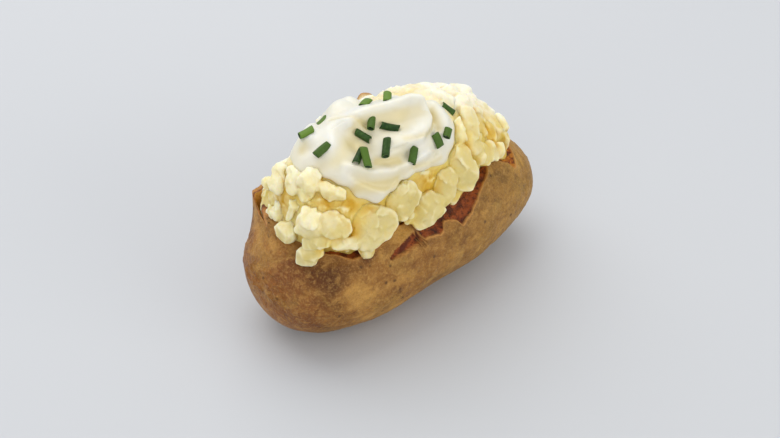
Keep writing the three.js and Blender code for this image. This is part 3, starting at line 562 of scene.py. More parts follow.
def crack_rim(x, angle):
    """1 on both sides of the slanted tear, falling off as a bell curve."""
    to_low = np.abs(angle - track(CRACK_LOW, x))
    to_high = np.abs(angle - track(CRACK_HIGH, x))
    away = np.minimum(to_low, to_high) * SKIN_MM_PER_DEGREE
    return np.exp(-(away / 0.45) ** 2) * smooth((x + 25) / 5) * (x < -6)


def torn_skin():
    """Skin as one closed shell on a grid of stations along it and places round its section.

    Stations crowd to both ends as a sine. The torn edges curl out over the last few
    millimetres, the slanted tear is sunk, and torn walls are rough. Where the skin isn't
    split, its torn walls are left out and the outer and inner sheets close on the seam.
    Marks for the finish: pale inside of the flap's tip, bare torn stuff, rim, inside, tone.
    """
    u = np.sin(math.pi * (np.arange(STATIONS + 1) / STATIONS - 0.5))[:, None]
    along = HALF_LENGTH * signed_power(u[:, 0], LENGTH_POWER)
    is_open, front, front_in, back, back_in = edge_angles(along)
    angle, depth, kind = skin_rings(front, front_in, back, back_in)
    u = u * np.ones_like(angle)
    x = HALF_LENGTH * signed_power(u, LENGTH_POWER)
    plain = skin_point(u, angle, depth)
    inside = crack_share(x, angle) * (kind == 0)
    opened = is_open[:, None] * np.ones_like(angle)
    to_edge = np.minimum(np.abs(front[:, None] - angle), np.abs(back[:, None] - angle))
    to_edge = to_edge * SKIN_MM_PER_DEGREE
    curl = 0.5 * np.exp(-to_edge / 1.6) * opened
    rough = 0.5 * many_noises(plain, 2.4, 3, 11.0)
    relief = np.where(kind == 0, skin_relief(plain, x, angle) + curl, 0.0)
    relief = relief * (1 - inside) - 1.9 * inside + 0.25 * inside * rough
    relief = np.where(kind == 1, 0.5 * rough - 0.1, relief)
    points = skin_point(u, angle, depth - relief)
    points[..., 0] = plain[..., 0] + (points[..., 0] - plain[..., 0]) * (np.abs(u) > 0.98)
    points[..., 2] = np.maximum(points[..., 2], 0.0)
    torn_rim = np.exp(-(to_edge / 0.5) ** 2) * opened
    tip = np.exp(-(((x - TIP_X + 3) / 7) ** 2)) * (kind > 0) * smooth((angle - 70) / 10)
    marks = {
        "pale": tip * (1 - np.exp(-(to_edge / 0.3) ** 2)),
        "bare": np.clip((kind > 0) * 1.0 + smooth(inside * 1.4 - 0.2), 0, 1),
        "rim": np.maximum(torn_rim, crack_rim(x, angle)) * (kind < 2),
        "inner": (kind == 2) * 1.0,
        "tone": skin_tone(plain, x, angle),
    }
    column = np.arange(angle.shape[1])
    back_wall = (column >= OUTER_STEPS) & (column < OUTER_STEPS + WALL_STEPS)
    is_wall = back_wall | (column >= OUTER_STEPS + WALL_STEPS + INNER_STEPS)
    shut = ~(is_open[:-1] | is_open[1:])
    drop = (shut[:, None] & is_wall[None, :]).reshape(-1)
    return points, grid_faces(STATIONS + 1, angle.shape[1])[~drop], marks


# ---- heap of flesh ----

def heap_size(x):
    """Size of the heap's section along it: a blunt curve, 1 in the middle, lower at the thin end.

    The curve is (1 - d^p)^(1/p) of the share d of the way to the end.
    """
    power = np.where(x > HEAP_X, 2.5, 4.0)
    far = np.where(x > HEAP_X, (x - HEAP_X) / HEAP_RIGHT, (HEAP_X - x) / HEAP_LEFT)
    k = np.maximum(0.0, 1 - np.maximum(far, 0.0) ** power) ** (1 / power)
    return k * (1 - 0.16 * smooth((x - 20) / 26))


def far_sag(x, angle):
    """Share of the rise that the heap lacks on the far side of its thick end."""
    return track(FAR_SAG, x) * smooth((angle - 98) / 24)


def far_narrowing(angle):
    """Share of the width that the heap keeps down its far side: 1 falling to 0.75."""
    return 1 - 0.25 * smooth((angle - 110) / 60)


def heap_point(x, angle, lift):
    """Point of the heap: x along it, angle over it (0 front foot, 90 crest), lift outwards.

    Sections are slightly squared ellipses that shrink to both ends, lower in height than width.
    """
    t = np.radians(angle)
    k = heap_size(x)
    across = signed_power(np.cos(t), 1 / HEAP_SQUARENESS) * far_narrowing(angle)
    up = signed_power(np.sin(t), 1 / HEAP_SQUARENESS)
    rise = np.where(up < 0, HEAP_FOOT, HEAP_RISE)
    y = HEAP_Y - (HEAP_HALF_WIDTH * k ** 0.6 + lift) * across
    z = HEAP_Z + (rise * k * (1 - far_sag(x, angle)) + lift) * up
    return np.stack([x + 0 * t, y, z], axis=-1)


def heap_place(points):
    """Angle and lift of points above the heap's foot, found by halving the lift's range."""
    x = np.clip(points[:, 0], HEAP_X - HEAP_LEFT + 0.3, HEAP_X + HEAP_RIGHT - 0.3)
    k = heap_size(x)
    across = HEAP_Y - points[:, 1]
    up = np.maximum(points[:, 2] - HEAP_Z, 0.0)
    low = np.full(len(points), LEAST_LIFT)
    high = np.full(len(points), MOST_LIFT)
    angle = np.full(len(points), 90.0)
    for _ in range(22):
        lift = (low + high) / 2
        wide = np.maximum(HEAP_HALF_WIDTH * k ** 0.6 + lift, 0.5) * far_narrowing(angle)
        tall = np.maximum(HEAP_RISE * k * (1 - far_sag(x, angle)) + lift, 0.5)
        c = (np.abs(across) / wide) ** HEAP_SQUARENESS
        s = (up / tall) ** HEAP_SQUARENESS
        angle = np.degrees(np.arctan2(s, c * np.sign(across)))
        beyond = c * c + s * s > 1
        low = np.where(beyond, lift, low)
        high = np.where(beyond, high, lift)
    return angle, (low + high) / 2


def held_inside(points):
    """Keeps the foot of the heap within the skin, and lets it spill out above the torn edges.

    In front, points are pulled in towards the potato's long middle line until they are inside
    its section; at the back they stay before the flap, a plane from the hinge to its edge.
    """
    x, y, z = points[..., 0], points[..., 1], points[..., 2]
    u = signed_power(np.clip(x / HALF_LENGTH, -1, 1), 1 / LENGTH_POWER)
    depth = SKIN + FLESH_GAP
    zero = np.zeros_like(x)
    across = -y / np.maximum(0.1, -potato_point(u, zero, depth)[..., 1])
    tall = np.maximum(0.1, potato_point(u, zero + 90, depth)[..., 2] - MIDDLE_HEIGHT)
    up = (z - MIDDLE_HEIGHT) / tall
    angle = np.degrees(np.arctan2(up, across))
    above = angle - track(FRONT_EDGE, x) - track(FRONT_LEDGE, x)
    allowed = 1 + 1.5 * smooth(above / 14)
    pull = np.minimum(1.0, allowed / np.maximum(np.hypot(across, up), 1e-6))
    rim = skin_point(u, track(BACK_EDGE, x), depth)
    hinge = skin_point(u, zero + HINGE_ANGLE, depth)
    share = np.clip((z - hinge[..., 2]) / np.maximum(1, rim[..., 2] - hinge[..., 2]), 0, 1)
    limit = hinge[..., 1] + (rim[..., 1] - hinge[..., 1]) * share
    free = 20 * smooth((z - rim[..., 2]) / 6)
    front = y < 0
    y = np.where(front, y * pull, np.minimum(y, limit + free))
    z = np.where(front, MIDDLE_HEIGHT + (z - MIDDLE_HEIGHT) * pull, z)
    return np.stack([x, y, z], axis=-1)


def heap_frame(x, angle, lift):
    """Place on the heap with its along, up-slope and outward directions."""
    at = heap_point(np.float64(x), np.float64(angle), lift)
    step = -0.5 if x > HEAP_X else 0.5
    along = (heap_point(np.float64(x + step), np.float64(angle), lift) - at) * np.sign(step)
    along /= np.linalg.norm(along)
    slope = heap_point(np.float64(x), np.float64(angle + 1), lift) - at
    out = np.cross(along, slope)
    out /= np.linalg.norm(out)
    return at, along, np.cross(out, along), out


def ball(rows, columns):
    """Directions of a ball on a grid of latitude and longitude, with its faces turned outwards."""
    lat = np.radians(np.linspace(-90, 90, rows))[:, None]
    lon = np.radians(np.arange(columns) * 360 / columns)[None, :]
    d = [np.cos(lat) * np.cos(lon), np.cos(lat) * np.sin(lon), np.sin(lat) + 0 * lon]
    d = np.stack(d, axis=-1).reshape(-1, 3)
    return d, outward(d, grid_faces(rows, columns))


def lump(row, number, d):
    """A crumbled lump: a ball cut by fifteen flat planes, their edges rounded by a high power.

    In each direction the reach is the high-power mean of the planes' facing over their distance.
    """
    x, angle, lift, across, up_slope, out_size, turn = row
    at, along, slope, out = heap_frame(x, angle, lift)
    draw = np.random.default_rng(100 + number)
    cuts = np.concatenate([np.eye(3), -np.eye(3), draw.normal(size=(9, 3))])
    cuts /= np.linalg.norm(cuts, axis=1, keepdims=True)
    reach = np.concatenate([np.full(6, 1.02), draw.uniform(0.8, 1.1, 9)])
    facing = np.maximum(d @ cuts.T, 0.0) / reach
    r = (facing ** LUMP_SHARPNESS).sum(axis=1) ** (-1 / LUMP_SHARPNESS)
    a, b, c = (d * r[:, None] * np.array([across, up_slope, out_size])).T
    cos, sin = math.cos(math.radians(turn)), math.sin(math.radians(turn))
    return (
        at + (a * cos - b * sin)[:, None] * along + (a * sin + b * cos)[:, None] * slope
        + c[:, None] * out
    )


def chunk(row, number, lat, lon):
    """A broken chunk: the listed outline with a jagged line on top, on the served side.

    Its near face is the lowest of six planes tilted round the outline's middle, which meet in
    ridges; its rim is a little rounded by a low power of the latitude's cosine, and its back
    goes deeper into the heap. The middle is where the outline's sectors balance.
    """
    x, angle, height, thick, reaches = row
    at, _, _, out = heap_frame(x, angle, height)
    out = out + np.array(SERVED_SIDE)
    out /= np.linalg.norm(out)
    right = np.cross((0.0, 0.0, 1.0), SERVED_SIDE)
    right -= (right @ out) * out
    right /= np.linalg.norm(right)
    up = np.cross(out, right)
    draw = np.random.default_rng(300 + number)
    jag = draw.uniform(-0.8, 0.8, 20)
    reach = np.interp(lon % 360, np.arange(13) * 30, reaches + reaches[:1]) * 1.06
    reach = reach + np.interp(lon % 360, np.arange(21) * 18, np.append(jag, jag[0]))
    rim = np.abs(np.cos(np.radians(lat))) ** 0.38
    a = reach * rim * np.cos(np.radians(lon))
    b = reach * rim * np.sin(np.radians(lon))
    spokes = np.array(reaches)
    turns = np.radians(np.arange(12) * 30)
    middle_a = (spokes ** 3 * np.cos(turns)).sum() / (spokes ** 2).sum() * 0.67
    middle_b = (spokes ** 3 * np.sin(turns)).sum() / (spokes ** 2).sum() * 0.67
    wide = 0.95 * math.sqrt((spokes ** 2).mean())
    top = np.full_like(a, 1.25)
    for plane in range(6):
        turn = math.radians(60 * plane + draw.uniform(-28, 28))
        away = ((a - middle_a) * math.cos(turn) + (b - middle_b) * math.sin(turn)) / wide
        top = np.minimum(top, draw.uniform(0.85, 1.3) - draw.uniform(0.3, 1.0) * away)
    top = np.maximum(top, 0.0)
    side = signed_power(np.sin(np.radians(lat)), 0.5)
    c = thick * np.where(side > 0, top, 1.5) * side
    return at + a[:, None] * right + b[:, None] * up + c[:, None] * out


def far_lumps():
    """Lumps on the far side: places along rows, with uneven steps and sizes."""
    rows = []
    for angle, start, step, count in FAR_ROWS:
        for i in range(count):
            n = len(rows) * 7 + 11
            place = start + step * i + 5 * chance(n + 1)
            ends = 1 - 0.4 * float(smooth((abs(place) - 30) / 20))
            size = (6.4 + 2.6 * chance(n)) * ends
            rows.append((
                place, angle + 12 * chance(n + 2), chance(n + 3) - 1.2,
                size, size * (1.1 + 0.6 * chance(n + 4)), size * 0.75, 90 * chance(n + 5),
            ))
    return rows


def crumbs(draw):
    """Small lumps strewn over the heap by a seeded draw, most of them on the crest and far side.

    `loose` rises from 0 on the served side to 1 on the crest and at the thin end, and with it
    the share of the draws that are kept and the height at which a crumb may lie.
    """
    rows = []
    for _ in range(CRUMB_DRAWS):
        x = draw.uniform(-56, 54)
        angle = draw.uniform(22, 118 if x < -46 else 166)
        size = (0.9 + 1.7 * draw.random() ** 2.5) * (1 + 0.5 * float(smooth((x - 18) / 8)))
        loose = max(float(smooth((angle - 78) / 30)), float(smooth((x - 22) / 14)))
        if x < -44 and angle < 125:
            loose = 0.2
        share = 0.3 + (0.5 if x < 20 else 0.05) * loose
        if x < -34 and angle < 100:
            share = 0.12
        if draw.random() > share or angle < track(CRUMB_START, x):
            continue
        stretch = draw.uniform(0.8, 1.7)
        rows.append((
            x, angle, draw.uniform(-0.9, 0.1 + 0.5 * loose), size, size * stretch,
            size * draw.uniform(0.6, 0.9), draw.uniform(-90, 90),
        ))
    return rows


def gather(parts):
    """Several (points, faces) in one pair of arrays."""
    start = np.cumsum([0] + [len(p) for p, _ in parts[:-1]])
    return (
        np.concatenate([p for p, _ in parts]),
        np.concatenate([f + s for (_, f), s in zip(parts, start)]),
    )


def remeshed(points, faces, cell):
    """One skin round all the closed shapes together, from Blender's voxel remesh at this cell."""
    rough = put_mesh("rough_heap", points, faces)
    worker = rough.modifiers.new("one_skin", "REMESH")
    worker.mode = "VOXEL"
    worker.voxel_size = cell * 0.001
    worker.adaptivity = 0.0
    seen = rough.evaluated_get(bpy.context.evaluated_depsgraph_get())
    mesh = seen.to_mesh()
    mesh.calc_loop_triangles()
    count = len(mesh.vertices)
    place = np.empty(count * 3, dtype=np.float32)
    mesh.vertices.foreach_get("co", place)
    tris = np.empty(len(mesh.loop_triangles) * 3, dtype=np.int32)
    mesh.loop_triangles.foreach_get("vertices", tris)
    seen.to_mesh_clear()
    data = rough.data
    bpy.data.objects.remove(rough)
    bpy.data.meshes.remove(data)
    return place.reshape(-1, 3).astype(float) * 1000.0, tris.reshape(-1, 3)


def neighbours(faces, count):
    """Both ends of every triangle's sides, and how many neighbours each point has."""
    a = np.concatenate([faces[:, 0], faces[:, 1], faces[:, 2]])
    b = np.concatenate([faces[:, 1], faces[:, 2], faces[:, 0]])
    return a, b, np.maximum(np.bincount(a, minlength=count), 1)


def relaxed(points, faces, times, share=0.5):
    """Moves each point part of the way to the mean of its neighbours, several times."""
    a, b, near = neighbours(faces, len(points))
    near = near[:, None]
    points = points.copy()
    for _ in range(times):
        mean = np.stack([np.bincount(a, points[b, axis], len(points)) for axis in range(3)], axis=1)
        points += (mean / near - points) * share
    return points


def smoothed_values(values, faces, times):
    """Moves each value half way to the mean of its neighbours' values, several times."""
    a, b, near = neighbours(faces, len(values))
    for _ in range(times):
        values = 0.5 * values + 0.5 * np.bincount(a, values[b], len(values)) / near
    return values


def flesh_marks(points, faces, broad_steps):
    """Values for the finish: how hollow, golden, yellow, deep and near the crest each point is.

    Hollow is the depth below a much smoothed copy; the finish paints shade where it is sunk and
    light where it stands out. Golden is the greatest of the bell curves round the listed golden
    places, for painted golden shade in the gaps between the lumps. Yellow is the sum of those round
    the listed yellow places and of how far the point faces down, partly the flesh's own yellow and
    partly painted shade. Deep falls with the lift over the heap, for painted shade low down between
    the lumps, and crest rises with the angle, for paler flesh and painted light on top.
    """
    x = points[:, 0]
    broad = relaxed(points, faces, broad_steps)
    sunk = np.einsum("ij,ij->i", broad - points, point_normals(broad, faces))
    angle, lift = heap_place(points)
    golden = np.zeros(len(points))
    for at_x, at_angle, along, around in GOLDEN_SHADE_PLACES:
        golden = np.maximum(golden, bell(x, angle, at_x, at_angle, along, around))
    yellow = np.zeros(len(points))
    for at_x, at_angle, along, around, amount in YELLOW_AND_SHADE_PLACES:
        yellow += amount * bell(x, angle, at_x, at_angle, along, around)
    # painted shade: yellower and darker on faces that turn downwards
    yellow += 0.6 * (1 - smooth(0.3 + point_normals(points, faces)[:, 2] * 1.2))
    inland = smooth((x + 58.8) / 5.5)
    thin_end = smooth((x - 14) / 8)
    crest = smooth((angle - 60 + 14 * thin_end) / (60 - 25 * thin_end))
    return {
        "hollow": smoothed_values(np.clip(sunk / 0.9, -1, 1), faces, 1),
        "golden": golden,
        "yellow": smoothed_values(np.clip(yellow, 0, 1), faces, 2),
        "deep": smoothed_values(inland * (1 - smooth((lift + 0.2) / 4.8)), faces, 3),
        "crest": crest * smooth((x + 57) / 12),
    }


def fluffed(points, faces):
    """Softens the thin end: each point there moves most of the way to the mean round it."""
    share = 0.75 * smooth((points[:, 0] - 14) / 10)[:, None]
    return points + (relaxed(points, faces, 5) - points) * share


def below_cream(points):
    """Lets the flesh touch the cream's rim from below and presses what stands in it down."""
    angle, lift = heap_place(points)
    a = points[:, 0] - CREAM_X
    b = (angle - CREAM_ANGLE) * MM_PER_DEGREE
    share = np.hypot(a, b) / reach_at(np.degrees(np.arctan2(b, a)))
    below = cream_under(np.minimum(share, 1)) - 0.3
    high = points[:, 2] > HEAP_Z + 6
    covered = (share < 1.0) & (lift > below) & high
    points = np.where(covered[:, None], heap_point(points[:, 0], angle, below), points)
    rim = smooth((1.1 - share) / 0.08) * smooth((share - 0.8) / 0.1) * high * (lift > -1)
    held = np.minimum(lift, below)
    raised = held + (CREAM_EDGE - 0.35 - held) * rim
    near = (rim > 0) & (lift < raised)
    return np.where(near[:, None], heap_point(points[:, 0], angle, raised), points)


def broken_chunks():
    """The chunks and lumps of the served side under one skin, chipped all over.

    The chips are small tilted flats of two sizes with fine noise on top.
    """
    lat = np.repeat(np.linspace(-90, 90, 29), 60)
    lon = np.tile(np.arange(60) * 6.0, 29)
    _, faces = ball(29, 60)
    parts = [(chunk(row, number, lat, lon), faces) for number, row in enumerate(CHUNKS)]
    big, big_faces = ball(18, 28)
    parts += [
        (lump(row, number, big), big_faces)
        for number, row in enumerate(LUMPS) if row[1] < CREST_ANGLE
    ]
    points, faces = remeshed(*gather(parts), CHUNK_CELL)
    points = relaxed(points, faces, 1)
    rough = 0.21 * chips(points, 5.2, 1.0) + 0.05 * chips(points, 1.8, 2.0)
    rough = rough + 0.06 * soft_noise(points, 1.1, 24.0)
    points = points + point_normals(points, faces) * rough[:, None]
    points = below_cream(fluffed(relaxed(points, faces, 1, 0.35), faces))
    return points, faces, flesh_marks(points, faces, 30)


def mound():
    """The bare heap on a grid of 81 stations, which crowd to both ends, and 160 places round it."""
    v = np.sin(math.pi * (np.arange(81) / 80 - 0.5))[:, None]
    w = (np.arange(160) * 360 / 160 - 180)[None, :]
    x = HEAP_X + np.where(v > 0, HEAP_RIGHT, HEAP_LEFT) * v
    swell = 0.9 * smooth((w - 5) / 20) * smooth((130 - w) / 30) + 0 * v
    points = held_inside(heap_point(x, w + 0 * v, swell)).reshape(-1, 3)
    return points, outward(points, grid_faces(81, 160))


def fluffed_flesh():
    """The heap with the lumps and crumbs of its crest and far side under one skin, roughened.

    The roughness is small chips of two sizes and fine noise, less a torn line wherever broad
    folded noise comes near zero. Behind, the thin end is held within the skin.
    """
    big, big_faces = ball(18, 28)
    small, small_faces = ball(9, 12)
    parts = [mound()]
    parts += [
        (lump(row, number, big), big_faces)
        for number, row in enumerate(LUMPS + far_lumps()) if row[1] >= CREST_ANGLE
    ]
    parts += [
        (lump(row, number + 200, small), small_faces)
        for number, row in enumerate(crumbs(np.random.default_rng(4)))
    ]
    points, faces = remeshed(*gather(parts), HEAP_CELL)
    points = relaxed(points, faces, 1)
    rough = 0.3 * chips(points, 3.4, 4.0) + 0.14 * chips(points, 1.8, 5.0)
    rough += 0.16 * soft_noise(points, 1.3, 24.0)
    torn = 1 - np.abs(soft_noise(points, 6.0, 27.0))
    rough = rough - 0.4 * torn ** 8
    points = fluffed(points + point_normals(points, faces) * rough[:, None], faces)
    behind = (smooth((points[:, 0] - 10) / 4) * (points[:, 1] > 0))[:, None]
    points = below_cream(points + (held_inside(points) - points) * behind)
    return points, faces, flesh_marks(points, faces, 22)


# ---- sour cream ----

def along_line(a, b, line):
    """Distance to a line of straight stretches, with the sign of the side the point lies on."""
    best = np.full(np.shape(a), np.inf)
    side = np.zeros(np.shape(a))
    for (x0, y0), (x1, y1) in zip(line[:-1], line[1:]):
        dx, dy = x1 - x0, y1 - y0
        t = np.clip(((a - x0) * dx + (b - y0) * dy) / (dx * dx + dy * dy), 0, 1)
        away = np.hypot(a - x0 - t * dx, b - y0 - t * dy)
        closer = away < best
        best = np.where(closer, away, best)
        side = np.where(closer, np.sign(dx * (b - y0) - dy * (a - x0)), side)
    return best, side


def fold_height(a, b, folds):
    """Sum of the folds: each falls off as a bell curve from its line, its two sides not alike."""
    height = np.zeros(np.shape(a))
    for rise, below, above, line in folds:
        away, side = along_line(a, b, line)
        width = below + (above - below) * smooth(0.5 + 0.5 * side * np.minimum(1, away / 0.6))
        height = height + rise * np.exp(-((away / width) ** 2))
    return height


def reach_at(turn):
    """The spoonful's reach in each direction: smooth between the listed ones, with scallops.

    The scallops are two small sines, 13 and 21 waves round.
    """
    place = (np.asarray(turn) / 15.0) % 24
    i = np.floor(place).astype(int)
    t = smooth(place - i)
    scallops = 0.35 * np.sin(np.radians(turn) * 13 + 1) + 0.25 * np.sin(np.radians(turn) * 21 + 2)
    return CREAM_REACH[i % 24] * (1 - t) + CREAM_REACH[(i + 1) % 24] * t + scallops


def cream_top(a, b, share):
    """Height of the cream over the heap: a flat dome with the folds on it."""
    dome = CREAM_EDGE + CREAM_THICK * np.sqrt(np.maximum(0, 1 - share ** 3))
    return dome + fold_height(a, b, FOLDS) * (1 - share ** 8)


def cream_under(share):
    """Height of the cream's underside: level with its rim outside, 2 mm into the heap within."""
    return CREAM_EDGE - (CREAM_EDGE + 2) * np.sqrt(np.maximum(0, 1 - share ** 6))


def sour_cream():
    """The spoonful on a grid of rings from its middle and directions round it, top then underside.

    Rings crowd to the rim as a sine. Points near a listed crest are pushed sideways as a bell
    curve of their distance from it, so that the crest curls over.
    """
    top, low, columns = 84, 8, 288
    ring = np.arange(top + low + 1)[:, None]
    turn = (np.arange(columns) * 360 / columns)[None, :]
    upper = ring <= top
    out, back = ring / top * math.pi / 2, (ring - top) / low * math.pi / 2
    share = np.where(upper, np.sin(out), np.cos(back))
    reach = reach_at(turn)
    a = reach * share * np.cos(np.radians(turn))
    b = reach * share * np.sin(np.radians(turn))
    share = share + 0 * turn
    lift = np.where(upper, cream_top(a, b, share), cream_under(share))
    # painted shade: beige where the cream lies low between its folds and along the listed shade
    # lines
    low_place_shade = np.clip(0.25 - fold_height(a, b, FOLDS) / 8.0, 0, 0.6)
    hollow = np.where(upper, low_place_shade + fold_height(a, b, PAINTED_SHADES), 0.0)
    for side, down, wide, number in CURLS:
        away, _ = along_line(a, b, FOLDS[number][3])
        over = np.exp(-((away / wide) ** 2)) * upper
        a, b = a + side * over, b + down * over
    points = heap_point(CREAM_X + a, CREAM_ANGLE + b / MM_PER_DEGREE, lift)
    return points, grid_faces(top + low + 1, columns), {"hollow": hollow}


# ---- chives ----

def chive(at, axis, side, out, length, flat, seed):
    """A cut hollow tube as rings along a slightly bent path, a parabola between its ends.

    The rings go over the outside, in at one end, along the inside and out at the other. The
    ends are cut a little slanted, and the tube is pressed flat by its share.
    """
    outer_rows, inner_rows, columns = 9, 5, 20
    t = np.concatenate([
        np.linspace(-1, 1, outer_rows), [1.0], np.linspace(1, -1, inner_rows), [-1.0],
    ])[:, None]
    r = np.concatenate([
        np.full(outer_rows, 1.0), [CHIVE_RIM], np.full(inner_rows, CHIVE_BORE), [CHIVE_RIM],
    ])
    r[0] = r[outer_rows - 1] = 0.985
    turn = np.radians(np.arange(columns) * 360 / columns)[None, :]
    r = r[:, None] * CHIVE_RADIUS * (1 + 0.05 * np.sin(2 * turn + seed))
    slant = 0.10 * np.sin(turn + seed * 3)
    place = (t + slant * np.abs(t)) * length / 2
    bend = 0.35 * (1 - t * t) * math.sin(seed * 5)
    across = r * np.cos(turn) * (1 + 0.25 * (1 - flat))
    height = r * np.sin(turn) * flat + bend
    points = at + place[..., None] * axis + across[..., None] * side + height[..., None] * out
    rows = len(t)
    faces = grid_faces(rows + 1, columns)
    faces = np.where(faces >= rows * columns, faces - rows * columns, faces)
    cut = np.concatenate([np.zeros(outer_rows), [1.0], np.full(inner_rows, 1.6), [1.0]])
    return points.reshape(-1, 3), faces, np.repeat(cut, columns)


def all_chives():
    """Each chive laid on the cream or on the flesh, turned in the heap's own surface."""
    rows = []
    for number, (a, b, turn, length, flat, pale) in enumerate(CHIVES):
        share = np.hypot(a, b) / reach_at(math.degrees(math.atan2(b, a)))
        lift = cream_top(np.float64(a), np.float64(b), share) + CHIVE_RADIUS * flat * 0.55
        if number == CROSSING_CHIVE:
            lift += CHIVE_RADIUS * 1.3
        angle = CREAM_ANGLE + b / MM_PER_DEGREE
        rows.append((CREAM_X + a, angle, lift, turn, length, flat, pale))
    parts, cuts, tones = [], [], []
    for number, (x, angle, lift, turn, length, flat, pale) in enumerate(rows + LOOSE_CHIVES):
        at, along, slope, out = heap_frame(x, angle, lift)
        axis = along * math.cos(math.radians(turn)) + slope * math.sin(math.radians(turn))
        side = np.cross(axis, out)
        points, faces, cut = chive(at, axis, side, out, length, flat, number + 1.0)
        parts.append((points, outward(points, faces)))
        cuts.append(cut)
        tones.append(np.full(len(cut), float(pale)))
    points, faces = gather(parts)
    return points, faces, {"cut": np.concatenate(cuts), "tone": np.concatenate(tones)}


# ---- finishes ----

def linear(red, green, blue):
    """Screen colour, 0 to 255, as the linear colour that shaders use."""
    return tuple(
        (c / 12.92 if c <= 0.04045 else ((c + 0.055) / 1.055) ** 2.4)
        for c in (red / 255, green / 255, blue / 255)
    ) + (1.0,)


def shared_group(name, inputs, outputs, build):
    """A shader node group with named sockets, made once."""
    group = bpy.data.node_groups.new(name, "ShaderNodeTree")
    for label, kind, value in inputs:
        socket = group.interface.new_socket(label, in_out="INPUT", socket_type=kind)
        if value is not None:
            socket.default_value = value
    for label, kind in outputs:
        group.interface.new_socket(label, in_out="OUTPUT", socket_type=kind)
    source = group.nodes.new("NodeGroupInput")
    sink = group.nodes.new("NodeGroupOutput")
    build(group, source, sink)
    return group


def feed(tree, value, socket):
    """Links a socket's value into another socket, or sets a plain number or colour on it."""
    if isinstance(value, bpy.types.NodeSocket):
        tree.links.new(value, socket)
    else:
        socket.default_value = value


def math_node(tree, operation, first, second, clamp=False):
    """A Math node; each operand is a socket or a number."""
    node = tree.nodes.new("ShaderNodeMath")
    node.operation = operation
    node.use_clamp = clamp
    feed(tree, first, node.inputs[0])
    feed(tree, second, node.inputs[1])
    return node.outputs[0]


def spread(tree, value, low, high):
    """The value stretched so that low gives 0 and high gives 1, with soft ends."""
    node = tree.nodes.new("ShaderNodeMapRange")
    node.interpolation_type = "SMOOTHSTEP"
    feed(tree, value, node.inputs["Value"])
    feed(tree, low, node.inputs["From Min"])
    feed(tree, high, node.inputs["From Max"])
    return node.outputs["Result"]


def build_blotches(group, source, sink):
    """Noise of one size stretched between two levels."""
    noise = group.nodes.new("ShaderNodeTexNoise")
    group.links.new(source.outputs["Place"], noise.inputs["Vector"])
    for label in ("Scale", "Detail", "Distortion"):
        group.links.new(source.outputs[label], noise.inputs[label])
    noise.inputs["Roughness"].default_value = 0.6
    out = spread(group, noise.outputs["Fac"], source.outputs["Low"], source.outputs["High"])
    group.links.new(out, sink.inputs["Amount"])


def build_specks(group, source, sink):
    """Round specks round scattered points, each of its own size, some left out."""
    cells = group.nodes.new("ShaderNodeTexVoronoi")
    group.links.new(source.outputs["Place"], cells.inputs["Vector"])
    group.links.new(source.outputs["Scale"], cells.inputs["Scale"])
    split = group.nodes.new("ShaderNodeSeparateColor")
    group.links.new(cells.outputs["Color"], split.inputs["Color"])
    size = math_node(group, "MULTIPLY", split.outputs["Red"], source.outputs["Size"])
    near = math_node(group, "SUBTRACT", size, cells.outputs["Distance"])
    soft = math_node(group, "MULTIPLY", near, source.outputs["Sharpness"], clamp=True)
    group.links.new(soft, sink.inputs["Amount"])


BLOTCHES = shared_group(
    "blotches",
    [("Place", "NodeSocketVector", None), ("Scale", "NodeSocketFloat", 100.0),
     ("Detail", "NodeSocketFloat", 4.0), ("Distortion", "NodeSocketFloat", 0.0),
     ("Low", "NodeSocketFloat", 0.35), ("High", "NodeSocketFloat", 0.65)],
    [("Amount", "NodeSocketFloat")], build_blotches,
)
SPECKS = shared_group(
    "specks",
    [("Place", "NodeSocketVector", None), ("Scale", "NodeSocketFloat", 200.0),
     ("Size", "NodeSocketFloat", 0.3), ("Sharpness", "NodeSocketFloat", 8.0)],
    [("Amount", "NodeSocketFloat")], build_specks,
)


